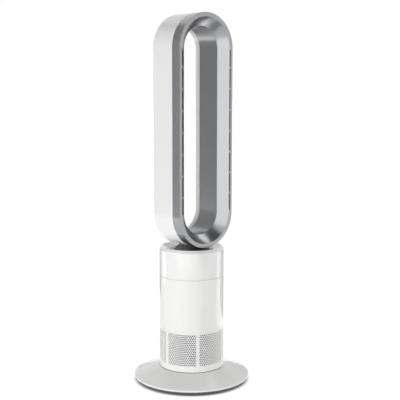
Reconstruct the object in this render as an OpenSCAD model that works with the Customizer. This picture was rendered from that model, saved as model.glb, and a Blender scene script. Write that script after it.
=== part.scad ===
// Bladeless tower fan: a tall hollow loop on a round column that stands on a disc base.
// A blower in the column draws air in through perforated windows and sends it up the neck
// into the loop, where it leaves through a narrow slot down each side of the front rim.
// The front of the fan faces -Y, +X is to the right seen from the front and +Z is up.
// The origin is the centre of the underside, on the floor. Sizes are in millimetres.

/* [Base plate] */
// Radius of the base plate at its widest edge
plate_r = 143.6; // [130:0.2:165]
// How far the underside draws in below the widest edge
plate_undercut = 7.6; // [5:0.2:12]
// Height of the widest edge above the floor
plate_edge_z = 9.6; // [8.5:0.1:13]
// Height of the upright edge band above the widest edge
plate_band_h = 3.2; // [2:0.1:5]
// Radius of the rounding above the edge band
plate_round = 1.8; // [1:0.1:3]
// Height of the flat that carries the column
plate_top_z = 36.5; // [32:0.5:46]
// Width of the step outside the column's foot
plate_step = 1.6; // [1:0.1:3]
// Wall of the plate mouldings
plate_wall = 3; // [2.4:0.1:3.6]
// Number of rubber feet and of tray screws
foot_count = 6; // [4:1:8]
// Radius of a rubber foot
foot_r = 9; // [7:0.5:11]
// How far the feet hold the tray off the floor
foot_drop = 1.5; // [1:0.1:2.5]
// Thickness of the steel ballast plate
ballast_h = 6; // [4:0.5:8]

/* [Column] */
// Outer radius of the column
column_r = 80; // [77:0.5:88]
// Wall of the column housings
housing_wall = 3; // [2.4:0.1:3.6]
// Height of the lower housing
lower_h = 228.7; // [222:0.5:250]
// Height of the upper housing to its lip
upper_h = 73.1; // [71:0.5:90]
// Height of the fine joint between the two housings
seam_gap = 0.5; // [0.3:0.1:1]
// How far the column's foot flares out
foot_flare = 1; // [0:0.1:1.5]
// Width of the chamfered shoulder at the top edge
shoulder_w = 4.5; // [3:0.1:6]
// Height of the chamfered shoulder at the top edge
shoulder_h = 7; // [5:0.1:9]
// Depth of the dish inside the lip
dish_drop = 10; // [8:0.1:12]
// Thickness of the deck that carries the swivel
deck_t = 4; // [3:0.1:5]

/* [Air intake] */
// Number of perforated windows
window_count = 6; // [4:1:8]
// Angle of the solid bar between two windows
bar_angle = 6; // [4:0.5:12]
// Height of the windows above the column's foot
window_rise = 14.5; // [14:0.1:20]
// Height of a window
window_h = 80.1; // [60:0.1:84]
// Wall of the perforated screens
screen_wall = 2; // [1.2:0.1:2.4]
// Distance between the screen's holes
mesh_pitch = 10.4; // [8:0.2:14]
// Width of the web left between two holes
mesh_web = 2.8; // [1.6:0.1:4]

/* [Blower] */
// Inner radius of the shroud round the diffuser
shroud_r = 60; // [57:0.5:62]
// Inner radius of the throat below the impeller
throat_r = 46; // [42:0.5:50]
// Height of the impeller
impeller_h = 40; // [34:0.5:46]
// Number of impeller blades
blade_count = 9; // [7:1:13]
// Thickness of an impeller blade
blade_t = 2; // [1.4:0.1:2.6]
// Twist of a blade over its height, in degrees
blade_twist = 52; // [30:1:70]
// Height of the diffuser
diffuser_h = 40; // [36:0.5:46]
// Number of diffuser vanes
vane_count = 11; // [7:1:15]
// Outer radius of the motor can
motor_r = 27; // [24:0.5:28]
// Radius of the motor shaft
shaft_r = 3; // [2.5:0.1:4]

/* [Swivel] */
// Outer radius of the neck
neck_r = 31.5; // [29:0.5:33]
// Wall of the neck and of the air duct
duct_wall = 2.2; // [1.6:0.1:3]
// Outer radius of the cone that turns in the dish
cone_r = 56; // [53:0.5:60]
// Radius of the cone's top edge
cone_top_r = 34.5; // [34:0.5:38]
// Tooth size of the swivel gears
gear_module = 1.5; // [1.25:0.25:1.75]
// Number of teeth on the drive pinion
pinion_teeth = 12; // [12:1:14]
// Face width of the ring gear
gear_h = 8; // [6:0.5:9]
// Radius of the swivel motor
swivel_motor_r = 14; // [12:0.5:14.5]
// Height of the swivel motor
swivel_motor_h = 19; // [15:0.5:20]

/* [Loop] */
// Distance between the centres of the two round ends
loop_straight = 397.3; // [300:0.5:420]
// Outer radius of the round ends
loop_r = 84.25; // [80:0.25:92]
// Radius of the opening's round ends
open_r = 53; // [48:0.5:54]
// Depth of the loop in front of the neck's axis
loop_front = 55.5; // [50:0.5:60]
// Depth of the loop behind the neck's axis
loop_back = 47.5; // [44:0.5:56]
// Distance in front of the axis where the silver band meets the shell
band_back = 27; // [24:0.5:30]
// Distance in front of the axis where the nose meets the inner liner
nose_back = 34; // [33:0.5:37]
// Distance behind the axis where the liner meets the shell's return
liner_back = 30.8; // [26:0.1:34]
// Wall of the loop's mouldings
loop_wall = 2.5; // [2:0.1:3]
// Radius of the shell's rounded outer rear edge
shell_round = 6.5; // [4:0.5:9]
// Radius of the shell's rounded inner rear edge
return_round = 4; // [3:0.5:6]
// Width of the flat rim outside the air slot
rim_w = 6.9; // [5.5:0.1:8.5]
// Width of the air slot
slot_w = 3.2; // [2:0.1:4]
// Distance from the round ends' centres to the slot's ends
slot_end = 3.5; // [2:0.5:12]
// Number of ribs across each air slot
rib_count = 7; // [3:1:9]
// Width of a rib across the air slot
rib_w = 4; // [2:0.1:6]
// Distance between two ribs
rib_pitch = 51.1; // [35:0.1:52]
// Gap between the loop's underside and the column's lip
head_gap = 0.9; // [0.6:0.1:4]

/* [Button] */
// Radius of the power button
button_r = 7; // [5:0.5:8]
// How far the button stands out of the housing
button_proud = 1; // [0.6:0.1:2]
// Travel of the button
button_travel = 1; // [0.5:0.1:1.5]

/* [Hidden] */
$fn = 96;

white = "whitesmoke";
silver = "silver";
dark = "dimgray";
black = "#2a2a2c";
steel = "lightsteelblue";
copper = "peru";
cream = "ivory";
board_green = "seagreen";

// How far every cut runs past the face that it opens
overrun = 1;
// Gap between two fixed pieces that only rest side by side
fit = 0.15;
// Gap between two pieces that move past each other
run_gap = 0.3;
// Radial clearance of a shaft in its bearing
shaft_fit = 0.04;
// Number of steps in a small rounding
round_steps = 5;

// Base plate
collar_t = 1.2;
column_z = plate_top_z + collar_t;
platform_r = column_r + foot_flare + plate_step;
band_top_z = plate_edge_z + plate_band_h;
cover_rise = plate_top_z - band_top_z;
cover_run = plate_r - platform_r;
cover_angle = atan2(cover_rise, cover_run);
cable_hole_r = 22;
tray_top_z = foot_drop + plate_wall;
foot_set = 14;
foot_ring_r = plate_r - plate_undercut - foot_set;
foot_recess = 1.7;
tray_post_r = 4.5;
tray_screw_r = 1.5;
tray_head_r = 3;
tray_head_h = 1.8;
tray_screw_l = 9;
tray_post_ring_r = plate_r - plate_undercut - plate_wall - tray_post_r;
ballast_gap = 3;
ballast_hole_r = 42;
ballast_lift = 0.2;
ballast_z = tray_top_z + ballast_lift;
bolt_count = 4;
bolt_r = 2.5;
bolt_head_r = 4.5;
bolt_head_h = 2.8;
bolt_play = 0.4;
bolt_access_r = 6.5;
bolt_post_r = 6;
bolt_ring_r = column_r - housing_wall - bolt_post_r - tray_head_r;
bolt_boss_h = 6;

// Column
housing_in_r = column_r - housing_wall;
foot_flange_w = 18;
foot_flange_t = 4;
flare_h = 8;
seam_z = column_z + lower_h;
lip_z = seam_z + upper_h;
spigot_w = 1.6;
spigot_h = 5;
ledge_w = 5;
ledge_t = 3;
window_z = column_z + window_rise;
window_top_z = window_z + window_h;
window_angle = 360 / window_count - bar_angle;
front_turn = -90 - window_angle / 2;
ledge_rise = 12;
ledge_z = window_top_z + ledge_rise;
seam_boss_r = 4.5;
seam_boss_h = 12;
seam_boss_count = 4;
seam_boss_turn = 45;
seam_screw_r = 1.5;
seam_screw_l = 18;
seam_head_r = 2.8;
seam_head_h = 2;
seam_boss_ring_r = housing_in_r - spigot_w - seam_boss_r;

// Air intake
screen_seat = 0.15;
mesh_row = mesh_pitch * sqrt(3) / 2;
mesh_hole_r = (mesh_pitch - mesh_web) / 2;
mesh_edge = 3;
filter_t = 1.4;
filter_overlap = 2;
filter_rim_h = 3;
filter_rim_t = 2;
gland_bore_r = 3.2;
gland_sleeve_r = 4;
gland_flange_r = 4.9;
gland_flange_t = 1.6;
gland_in = 1;
gland_z = column_z + (foot_flange_t + window_rise) / 2;

// Blower
bell_most_r = 12;
ring_t = 2.4;
shroud_wall = 2;
shroud_fin_count = 4;
shroud_fin_t = 3;
shroud_foot_r = 5;
shroud_foot_t = 3;
shroud_foot_gap = 2;
shroud_foot_ring_r = housing_in_r - ledge_w - shroud_foot_gap - shroud_foot_r;
bell_r = min(bell_most_r, shroud_foot_ring_r - shroud_foot_r - shroud_foot_gap - throat_r);
shroud_z = ledge_z + bell_r + fit;
cone_end_z = shroud_z + impeller_h + 2 * run_gap;
shroud_top_z = cone_end_z + diffuser_h;
shroud_screw_r = 1.5;
shroud_head_r = 2.8;
shroud_head_h = 1.8;
shroud_fin_top_z = cone_end_z - ledge_rise;
tip_gap = 0.8;
hub_bottom_r = 17;
hub_top_r = 31;
hub_wall = 3;
hub_boss_r = 8;
hub_top_t = 4;
impeller_z = shroud_z + run_gap;
impeller_top_z = impeller_z + impeller_h;
blade_slices = 6;
blade_segments = 12;
nut_r = 5.5;
nut_h = 5;
nut_dome_r = 8;
motor_gap = 4;
motor_z = impeller_top_z + motor_gap;
motor_h = 32;
motor_top_z = motor_z + motor_h;
can_wall = 1.5;
mount_t = 3;
mount_h = 5;
mount_inset = 3;
nacelle_wall = 2;
nacelle_in_r = motor_r + mount_t + fit;
nacelle_r = nacelle_in_r + nacelle_wall;
nacelle_z = cone_end_z + run_gap;
nacelle_floor_t = 2;
vane_t = 1.8;
vane_tilt = 18;
vane_h = 26;
vane_z = cone_end_z + motor_gap;
cap_wall = 2;
cap_h = 18;
cap_top_r = 6;
bearing_r = 8;
bearing_h = 5;
seat_wall = 2;
stator_r = motor_r - can_wall - fit;
stator_h = 14;
stator_teeth = 6;
stator_yoke = 4;
tooth_w = 4.5;
coil_w = 3;
coil_over = 3;
magnet_r = 11;
magnet_h = 16;
air_gap = 0.6;
tooth_tip_r = magnet_r + air_gap;
tooth_shoe_w = 8;
tooth_shoe_t = 2;
stator_z = motor_z + (motor_h - stator_h) / 2;
shaft_z = impeller_z + nut_h / 2;
shaft_top_z = motor_top_z + can_wall;

// Swivel
deck_z = lip_z - dish_drop - deck_t;
deck_under_z = deck_z - deck_t;
cone_z = lip_z - dish_drop;
cone_top_z = lip_z + head_gap - 2 * run_gap;
hub_r = neck_r + 4.5;
hub_in_r = neck_r + fit;
slide_t = 1.6;
slide_in = 3;
slide_w = 9;
cone_wall = 3;
cone_rim = 0.4;
washer_t = 1.1;
washer_w = 4;
gear_rim = 3;
gear_addendum = 0.75 * gear_module;
gear_dedendum = 0.95 * gear_module;
duct_play = 1;
duct_in_r = neck_r + duct_play;
duct_out_r = duct_in_r + duct_wall;
pinion_pitch_r = gear_module * pinion_teeth / 2;
ring_least_r = max(hub_r + gear_rim + gear_dedendum, duct_out_r + run_gap + swivel_motor_r - pinion_pitch_r);
ring_teeth = ceil(2 * ring_least_r / gear_module);
ring_pitch_r = gear_module * ring_teeth / 2;
gear_centre = ring_pitch_r + pinion_pitch_r;
gear_pressure = 20;
gear_play = 0.12;
flank_steps = 4;
gear_z = deck_under_z - run_gap - washer_t - fit - gear_h;
clip_t = 1.5;
clip_w = 3;
clip_groove = 1;
clip_opening = 60;
hub_end = 2;
hub_z = gear_z - clip_t - 2 * fit - hub_end;
neck_in_r = neck_r - duct_wall;
neck_end = 8;
neck_z = hub_z - neck_end;
duct_top_z = hub_z - 2 * duct_wall;
duct_straight = 18;
duct_cone_z = duct_top_z - duct_straight;
seal_t = 3.4;
seal_w = 2.8;
motor_face_z = hub_z - 2 * run_gap;
ear_t = 1;
ear_reach = 17.5;
ear_r = 3.5;
ear_screw_r = 1.5;
ear_screw_l = 8;
ear_head_r = 2.8;
ear_head_h = 1.6;
output_r = 2.5;
output_in = 5;
pinion_over = 0.5;

// Loop
loop_low_z = lip_z + head_gap + loop_r;
loop_high_z = loop_low_z + loop_straight;
loop_mid_z = (loop_low_z + loop_high_z) / 2;
shell_in_r = loop_r - loop_wall;
slot_out_r = loop_r - rim_w;
slot_in_r = slot_out_r - slot_w;
slot_lip_t = 2;
slot_lip_d = 10;
nose_bulge = 1.2;
nose_steps = 6;
nose_slope = (loop_front - nose_back) / (slot_in_r - open_r);
nose_wall_r = loop_wall * sqrt(1 + 1 / pow(nose_slope, 2));
lip_t = 2.2;
lip_back = 5;
lip_lead = 4;
tongue_t = 1.5;
tongue_w = 8;
tongue_root = 2;
liner_t = 2;
joint_gap = 0.3;
saddle_r = neck_r + 6.5;
saddle_t = 2.2;
gasket_t = 1.1;
neck_hole_r = neck_r + run_gap;

// Control board and button
board_t = 1.6;
board_w = 72;
board_h = 36;
board_inset = 20;
board_y = column_r - board_inset;
board_z = seam_z + 8;
rail_w = 5;
rail_cover = 3;
rail_depth = 4;
rail_stop = 2;
switch_w = 6;
switch_h = 3.4;
plunger_r = 1.75;
plunger_h = 1.6;
button_z = board_z + board_h - 10;
flange_w = 2;
flange_t = 1.6;
flange_back = 1.2;
stem_r = 2;
button_face_round = 0.6;
capacitor_r = 5;
capacitor_h = 9;
choke_w = 12;
choke_h = 9;
socket_w = 10;
socket_h = 7;
socket_d = 6;
chip_w = 9;
chip_h = 1.4;

// A tube that stands on the working plane
module tube(outer, inner, height) {
    difference() {
        cylinder(r = outer, h = height);
        translate([0, 0, -overrun])
            cylinder(r = inner, h = height + 2 * overrun);
    }
}

// Copies of the children, spaced evenly round the Z axis at one radius
module around(count, radius, turn = 0) {
    for (i = [0:count - 1])
        rotate(turn + i * 360 / count)
            translate([radius, 0, 0])
                children();
}

// Points on an arc about a centre, from one angle to another
function arc_points(centre, radius, from, to, steps = round_steps) =
    [for (i = [0:steps])
        let (a = from + (to - from) * i / steps)
        centre + radius * [cos(a), sin(a)]];

// Points on a shallow bow from one point to another, both included
function bow_points(from, to, bulge, steps) =
    let (span = to - from, normal = [span[1], -span[0]] / norm(span))
    [for (i = [0:steps])
        let (t = i / steps)
        from + span * t + normal * (4 * bulge * t * (1 - t))];

// Inner radius of the blower shroud at a height above its lower edge
function shroud_in(h) =
    h < 0 ? throat_r
    : h > cone_end_z - shroud_z ? shroud_r
    : throat_r + (shroud_r - throat_r) * h / (cone_end_z - shroud_z);

// The base cover's upper surface, from the cable hole to the edge
cover_skin = concat(
    [[cable_hole_r, plate_top_z], [platform_r, plate_top_z]],
    arc_points([plate_r - plate_round, band_top_z], plate_round, 90 - cover_angle, 0),
    [[plate_r, plate_edge_z + fit]]);

// White cover of the base: a shallow cone with a flat for the column's foot
module base_cover() {
    color(white)
    difference() {
        union() {
            rotate_extrude()
                polygon(concat(cover_skin, [
                    [plate_r - plate_wall, plate_edge_z + fit],
                    [plate_r - plate_wall, band_top_z - plate_wall],
                    [platform_r, plate_top_z - plate_wall],
                    [cable_hole_r, plate_top_z - plate_wall]]));
            intersection() {
                rotate_extrude()
                    polygon(concat([[0, 0], [0, plate_top_z]], cover_skin,
                        [[plate_r, 0]]));
                union() {
                    translate([0, 0, tray_top_z + fit])
                        around(foot_count, tray_post_ring_r, 180 / foot_count)
                            cylinder(r = tray_post_r, h = plate_top_z);
                    translate([0, 0, ballast_z + ballast_h + fit])
                        around(bolt_count, bolt_ring_r, 180 / bolt_count)
                            cylinder(r = bolt_post_r, h = plate_top_z - ballast_z - ballast_h - 2 * fit);
                }
            }
        }
        around(foot_count, tray_post_ring_r, 180 / foot_count)
            cylinder(r = tray_screw_r, h = foot_drop + tray_head_h + tray_screw_l);
        around(bolt_count, bolt_ring_r, 180 / bolt_count)
            cylinder(r = bolt_r + bolt_play, h = plate_top_z + overrun);
    }
}

// Dark underside of the base, with its flared edge and the recesses for the feet
module base_tray() {
    color(dark)
    difference() {
        rotate_extrude()
            polygon([
                [0, foot_drop],
                [plate_r - plate_undercut, foot_drop],
                [plate_r - fit, plate_edge_z],
                [plate_r - plate_wall, plate_edge_z],
                [plate_r - plate_undercut - plate_wall / 2, tray_top_z],
                [0, tray_top_z]]);
        around(foot_count, foot_ring_r)
            cylinder(r = foot_r + fit, h = foot_drop + foot_recess);
        around(foot_count, tray_post_ring_r, 180 / foot_count) {
            cylinder(r = tray_screw_r + fit, h = tray_top_z + overrun);
            cylinder(r = tray_head_r + fit, h = foot_drop + tray_head_h);
        }
        around(bolt_count, bolt_ring_r, 180 / bolt_count)
            cylinder(r = bolt_access_r, h = tray_top_z + overrun);
    }
}

// Steel plate that keeps the fan from tipping
module ballast_plate() {
    color(steel)
    translate([0, 0, ballast_z])
        difference() {
            tube(tray_post_ring_r - tray_post_r - ballast_gap, ballast_hole_r, ballast_h);
            translate([0, 0, -overrun])
                around(bolt_count, bolt_ring_r, 180 / bolt_count)
                    cylinder(r = bolt_r + bolt_play, h = ballast_h + 2 * overrun);
        }
}

// Rubber pads that the fan stands on
module rubber_feet() {
    color(black)
    around(foot_count, foot_ring_r)
        cylinder(r = foot_r, h = foot_drop + foot_recess);
}

// A pan-head screw that points up, its head's top on the working plane
module screw(shank_r, length, head_r, head_h) {
    translate([0, 0, -head_h])
        cylinder(r = head_r, h = head_h);
    cylinder(r = shank_r, h = length);
}

// Screws that hold the tray to the cover's posts
module tray_screws() {
    color(steel)
    translate([0, 0, foot_drop + tray_head_h])
        around(foot_count, tray_post_ring_r, 180 / foot_count)
            screw(tray_screw_r, tray_screw_l, tray_head_r, tray_head_h - fit);
}

// Dark gasket between the base and the column, seen as a thin line
module column_gasket() {
    color(black)
    translate([0, 0, plate_top_z])
        difference() {
            tube(column_r, column_r - foot_flange_w, collar_t);
            translate([0, 0, -overrun])
                around(bolt_count, bolt_ring_r, 180 / bolt_count)
                    cylinder(r = bolt_r + bolt_play, h = collar_t + 2 * overrun);
        }
}

// Bolts that clamp ballast, cover and column together
module column_bolts() {
    color(steel)
    translate([0, 0, ballast_z])
        around(bolt_count, bolt_ring_r, 180 / bolt_count)
            screw(bolt_r, column_z + bolt_boss_h - ballast_z, bolt_head_r, bolt_head_h);
}

// Lower housing: a white tube with its foot flange, ledge, window openings and seam bosses
module lower_housing() {
    color(white)
    difference() {
        union() {
            rotate_extrude()
                polygon([
                    [column_r - foot_flange_w, column_z],
                    [column_r + foot_flare, column_z],
                    [column_r, column_z + flare_h],
                    [column_r, seam_z - seam_gap / 2],
                    [housing_in_r, seam_z - seam_gap / 2],
                    [housing_in_r, ledge_z],
                    [housing_in_r - ledge_w, ledge_z],
                    [housing_in_r - ledge_w, ledge_z - ledge_t],
                    [housing_in_r, ledge_z - ledge_t - ledge_w],
                    [housing_in_r, column_z + foot_flange_t],
                    [column_r - foot_flange_w, column_z + foot_flange_t]]);
            translate([0, 0, column_z])
                around(bolt_count, bolt_ring_r, 180 / bolt_count)
                    cylinder(r = bolt_post_r, h = foot_flange_t + bolt_boss_h);
            translate([0, 0, seam_z - seam_gap / 2 - spigot_h - seam_boss_h])
                intersection() {
                    cylinder(r = column_r - overrun, h = seam_boss_h);
                    around(seam_boss_count, seam_boss_ring_r, seam_boss_turn) {
                        cylinder(r = seam_boss_r, h = seam_boss_h);
                        translate([0, -seam_boss_r / 2, 0])
                            cube([2 * seam_boss_r, seam_boss_r, seam_boss_h]);
                    }
                }
        }
        around(bolt_count, bolt_ring_r, 180 / bolt_count)
            cylinder(r = bolt_r + shaft_fit, h = column_z + bolt_boss_h);
        translate([0, 0, seam_z - seam_gap - spigot_h - seam_boss_h - overrun])
            around(seam_boss_count, seam_boss_ring_r, seam_boss_turn)
                cylinder(r = seam_screw_r + fit, h = seam_boss_h + 2 * overrun);
        for (i = [0:window_count - 1])
            rotate(front_turn + i * 360 / window_count)
                rotate_extrude(angle = window_angle)
                    translate([housing_in_r - overrun, window_z])
                        square([housing_wall + 2 * overrun, window_h]);
        translate([0, housing_in_r - overrun, gland_z])
            rotate([-90, 0, 0])
                cylinder(r = gland_sleeve_r + fit / 2, h = housing_wall + foot_flare + 2 * overrun);
    }
}

// One perforated screen, its first edge on the +X axis
module screen() {
    seat_angle = screen_seat / column_r * 180 / PI;
    rows = floor((window_h - 2 * mesh_edge - 2 * mesh_hole_r) / mesh_row);
    first_row_z = (window_h - rows * mesh_row) / 2;
    pitch_angle = mesh_pitch / column_r * 180 / PI;
    edge_angle = (mesh_edge + mesh_hole_r) / column_r * 180 / PI;
    half_count = ceil(window_angle / pitch_angle / 2);
    difference() {
        rotate(seat_angle)
            rotate_extrude(angle = window_angle - 2 * seat_angle)
                translate([column_r - screen_wall, screen_seat])
                    square([screen_wall, window_h - 2 * screen_seat]);
        for (j = [0:rows], i = [-half_count:half_count])
            let (a = (i + (j % 2) / 2) * pitch_angle)
            if (abs(a) < window_angle / 2 - edge_angle)
                translate([0, 0, first_row_z + j * mesh_row])
                    rotate([0, 90, window_angle / 2 + a])
                        translate([0, 0, column_r - screen_wall - overrun])
                            cylinder(r = mesh_hole_r, h = screen_wall + 2 * overrun, $fn = 6);
    }
}

// Perforated screens that fill the windows, flush with the housing
module intake_screens() {
    color(silver)
    translate([0, 0, window_z])
        for (i = [0:window_count - 1])
            rotate(front_turn + i * 360 / window_count)
                screen();
}

// Fine dust filter: a sleeve behind the screens with a thicker rim at each end
module dust_filter() {
    filter_out_r = housing_in_r - fit;
    sleeve_h = window_h + 2 * filter_overlap;
    color(cream)
    translate([0, 0, window_z - filter_overlap])
        difference() {
            rotate_extrude()
                polygon([
                    [filter_out_r - filter_rim_t, 0],
                    [filter_out_r, 0],
                    [filter_out_r, sleeve_h],
                    [filter_out_r - filter_rim_t, sleeve_h],
                    [filter_out_r - filter_rim_t, sleeve_h - filter_rim_h],
                    [filter_out_r - filter_t, sleeve_h - filter_rim_h],
                    [filter_out_r - filter_t, filter_rim_h],
                    [filter_out_r - filter_rim_t, filter_rim_h]]);
            translate([0, column_r, gland_z - window_z + filter_overlap])
                rotate([90, 0, 0])
                    cylinder(r = gland_flange_r + fit, h = 2 * foot_flange_w);
        }
}

// Rubber gland in the rear of the column's foot, where a supply lead would enter
module cord_gland() {
    sleeve_l = column_r + foot_flare / 2 + gland_flange_t - housing_in_r + gland_in;
    color(black)
    translate([0, housing_in_r - gland_in, gland_z])
        rotate([-90, 0, 0])
            difference() {
                union() {
                    cylinder(r = gland_sleeve_r, h = sleeve_l);
                    translate([0, 0, sleeve_l - gland_flange_t])
                        cylinder(r = gland_flange_r, h = gland_flange_t);
                }
                translate([0, 0, -overrun])
                    cylinder(r = gland_bore_r, h = sleeve_l + 2 * overrun);
            }
}

// Inlet ring: a flange on the housing's ledge with a bell mouth up to the impeller
module inlet_ring() {
    bell_c = [throat_r + bell_r, ledge_z + bell_r];
    color(dark)
    difference() {
        rotate_extrude()
            polygon(concat(
                [[housing_in_r - fit, ledge_z], [housing_in_r - fit, ledge_z + ring_t]],
                arc_points(bell_c, bell_r - ring_t, -90, -180),
                arc_points(bell_c, bell_r, -180, -90)));
        around(shroud_fin_count, shroud_foot_ring_r, 0)
            cylinder(r = shroud_screw_r, h = ledge_z + ring_t + overrun);
    }
}

// Shroud round the impeller and diffuser, on four fins and feet
module blower_shroud() {
    foot_z = ledge_z + ring_t;
    color(dark)
    difference() {
        union() {
            rotate_extrude()
                polygon([
                    [throat_r, shroud_z],
                    [throat_r + shroud_wall, shroud_z],
                    [shroud_r + shroud_wall, cone_end_z],
                    [shroud_r + shroud_wall, shroud_top_z],
                    [shroud_r, shroud_top_z],
                    [shroud_r, cone_end_z]]);
            for (i = [0:shroud_fin_count - 1])
                rotate(i * 360 / shroud_fin_count) {
                    translate([0, shroud_fin_t / 2, 0])
                        rotate([90, 0, 0])
                            linear_extrude(height = shroud_fin_t)
                                polygon([
                                    [throat_r + bell_r, foot_z],
                                    [shroud_foot_ring_r, foot_z],
                                    [shroud_r + shroud_wall, shroud_fin_top_z],
                                    [shroud_r - shroud_wall, cone_end_z],
                                    [throat_r + shroud_wall, shroud_z + overrun],
                                    [throat_r + bell_r, shroud_z]]);
                    translate([shroud_foot_ring_r, 0, foot_z])
                        cylinder(r = shroud_foot_r, h = shroud_foot_t);
                }
        }
        rotate_extrude()
            polygon([
                [0, shroud_z - bell_r],
                [throat_r, shroud_z - bell_r],
                [throat_r, shroud_z],
                [shroud_r, cone_end_z],
                [shroud_r, shroud_top_z + overrun],
                [0, shroud_top_z + overrun]]);
        around(shroud_fin_count, shroud_foot_ring_r, 0)
            translate([0, 0, foot_z - overrun])
                cylinder(r = shroud_screw_r + fit, h = shroud_foot_t + 2 * overrun);
        around(shroud_fin_count, shroud_foot_ring_r, 0)
            translate([0, 0, foot_z + shroud_foot_t])
                cylinder(r = shroud_head_r + fit, h = shroud_fin_top_z - foot_z - shroud_foot_t);
    }
}

// Screws that hold the shroud's feet to the inlet ring
module shroud_screws() {
    color(steel)
    translate([0, 0, ledge_z + ring_t + shroud_foot_t])
        around(shroud_fin_count, shroud_foot_ring_r, 0)
            mirror([0, 0, 1])
                screw(shroud_screw_r - shaft_fit, shroud_foot_t + ring_t, shroud_head_r, shroud_head_h);
}

// Mixed-flow impeller: a hollow conical hub with twisted blades that follow the shroud
module impeller() {
    slope = (hub_top_r - hub_bottom_r) / impeller_h;
    color(cream)
    union() {
        rotate_extrude()
            polygon([
                [shaft_r + fit, impeller_z + nut_h],
                [hub_bottom_r - hub_wall, impeller_z + nut_h],
                [hub_bottom_r, impeller_z + nut_h - hub_wall],
                [hub_bottom_r + slope * nut_h, impeller_z + nut_h],
                [hub_top_r, impeller_top_z],
                [hub_top_r - hub_wall, impeller_top_z],
                [hub_bottom_r, impeller_z + nut_h + hub_top_t],
                [hub_boss_r, impeller_z + nut_h + hub_top_t],
                [hub_boss_r, impeller_top_z - hub_top_t],
                [shaft_r + fit, impeller_top_z - hub_top_t]]);
        intersection() {
            rotate_extrude()
                polygon([
                    [hub_bottom_r - hub_wall / 2, impeller_z + nut_h - hub_wall / 2],
                    [shroud_in(run_gap) - tip_gap, impeller_z],
                    [shroud_in(impeller_top_z - shroud_z) - tip_gap, impeller_top_z],
                    [hub_top_r - hub_wall / 2, impeller_top_z]]);
            translate([0, 0, impeller_z])
                linear_extrude(height = impeller_h, twist = -blade_twist, slices = blade_slices,
                    segments = blade_segments)
                    for (i = [0:blade_count - 1])
                        rotate(i * 360 / blade_count)
                            translate([hub_bottom_r - hub_wall, -blade_t / 2])
                                square([shroud_r - hub_bottom_r, blade_t]);
        }
    }
}

// Nut with a rounded nose that holds the impeller on its shaft
module impeller_nut() {
    color(steel)
    difference() {
        translate([0, 0, impeller_z])
            union() {
                cylinder(r = nut_r, h = nut_h - fit);
                intersection() {
                    translate([0, 0, nut_dome_r - nut_h / 2])
                        sphere(r = nut_dome_r);
                    translate([0, 0, -nut_h / 2])
                        cylinder(r = nut_r, h = nut_h);
                }
            }
        translate([0, 0, shaft_z - fit])
            cylinder(r = shaft_r + shaft_fit, h = nut_h);
    }
}

// Steel shaft through impeller, magnet and both bearings
module motor_shaft() {
    color(steel)
    translate([0, 0, shaft_z])
        cylinder(r = shaft_r, h = shaft_top_z - shaft_z);
}

// Ring magnet on the shaft
module rotor_magnet() {
    color(dark)
    translate([0, 0, stator_z - (magnet_h - stator_h) / 2])
        tube(magnet_r, shaft_r + shaft_fit, magnet_h);
}

// Motor can with a bearing seat at each end
module motor_can() {
    seat_r = bearing_r + seat_wall;
    color(steel)
    translate([0, 0, motor_z])
        difference() {
            cylinder(r = motor_r, h = motor_h);
            difference() {
                translate([0, 0, can_wall])
                    cylinder(r = motor_r - can_wall, h = motor_h - 2 * can_wall);
                cylinder(r = seat_r, h = bearing_h + can_wall);
                translate([0, 0, motor_h - bearing_h - can_wall])
                    cylinder(r = seat_r, h = bearing_h + can_wall);
            }
            translate([0, 0, -overrun])
                cylinder(r = shaft_r + overrun, h = motor_h + 2 * overrun);
            translate([0, 0, can_wall])
                cylinder(r = bearing_r, h = motor_h - 2 * can_wall);
        }
}

// Laminated stator with six teeth that point at the magnet
module motor_stator() {
    color(dark)
    translate([0, 0, stator_z])
        linear_extrude(height = stator_h)
            difference() {
                union() {
                    difference() {
                        circle(r = stator_r);
                        circle(r = stator_r - stator_yoke);
                    }
                    for (i = [0:stator_teeth - 1])
                        rotate(i * 360 / stator_teeth) {
                            translate([tooth_tip_r - overrun, -tooth_w / 2])
                                square([stator_r - stator_yoke / 2 - tooth_tip_r, tooth_w]);
                            translate([tooth_tip_r - overrun, -tooth_shoe_w / 2])
                                square([tooth_shoe_t + overrun, tooth_shoe_w]);
                        }
                }
                circle(r = tooth_tip_r);
            }
}

// Copper coils wound round the stator's teeth
module motor_coils() {
    coil_in = tooth_tip_r + tooth_shoe_t + 2 * fit;
    coil_l = stator_r - stator_yoke - fit - coil_in - overrun;
    color(copper)
    for (i = [0:stator_teeth - 1])
        rotate(i * 360 / stator_teeth)
            translate([coil_in, 0, stator_z])
                difference() {
                    translate([0, -tooth_w / 2 - coil_w, -coil_over])
                        cube([coil_l, tooth_w + 2 * coil_w, stator_h + 2 * coil_over]);
                    translate([-overrun, -tooth_w / 2 - fit, -fit])
                        cube([coil_l + 2 * overrun, tooth_w + 2 * fit, stator_h + 2 * fit]);
                }
}

// Ball bearings, shown as plain rings, one in each seat of the can
module motor_bearings() {
    color(steel)
    for (z = [motor_z + can_wall, motor_top_z - can_wall - bearing_h])
        translate([0, 0, z])
            tube(bearing_r, shaft_r + shaft_fit, bearing_h);
}

// Rubber rings that carry the motor in the nacelle
module motor_mounts() {
    color(black)
    for (z = [motor_z + mount_inset, motor_top_z - mount_inset - mount_h])
        translate([0, 0, z])
            tube(motor_r + mount_t, motor_r, mount_h);
}

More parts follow.
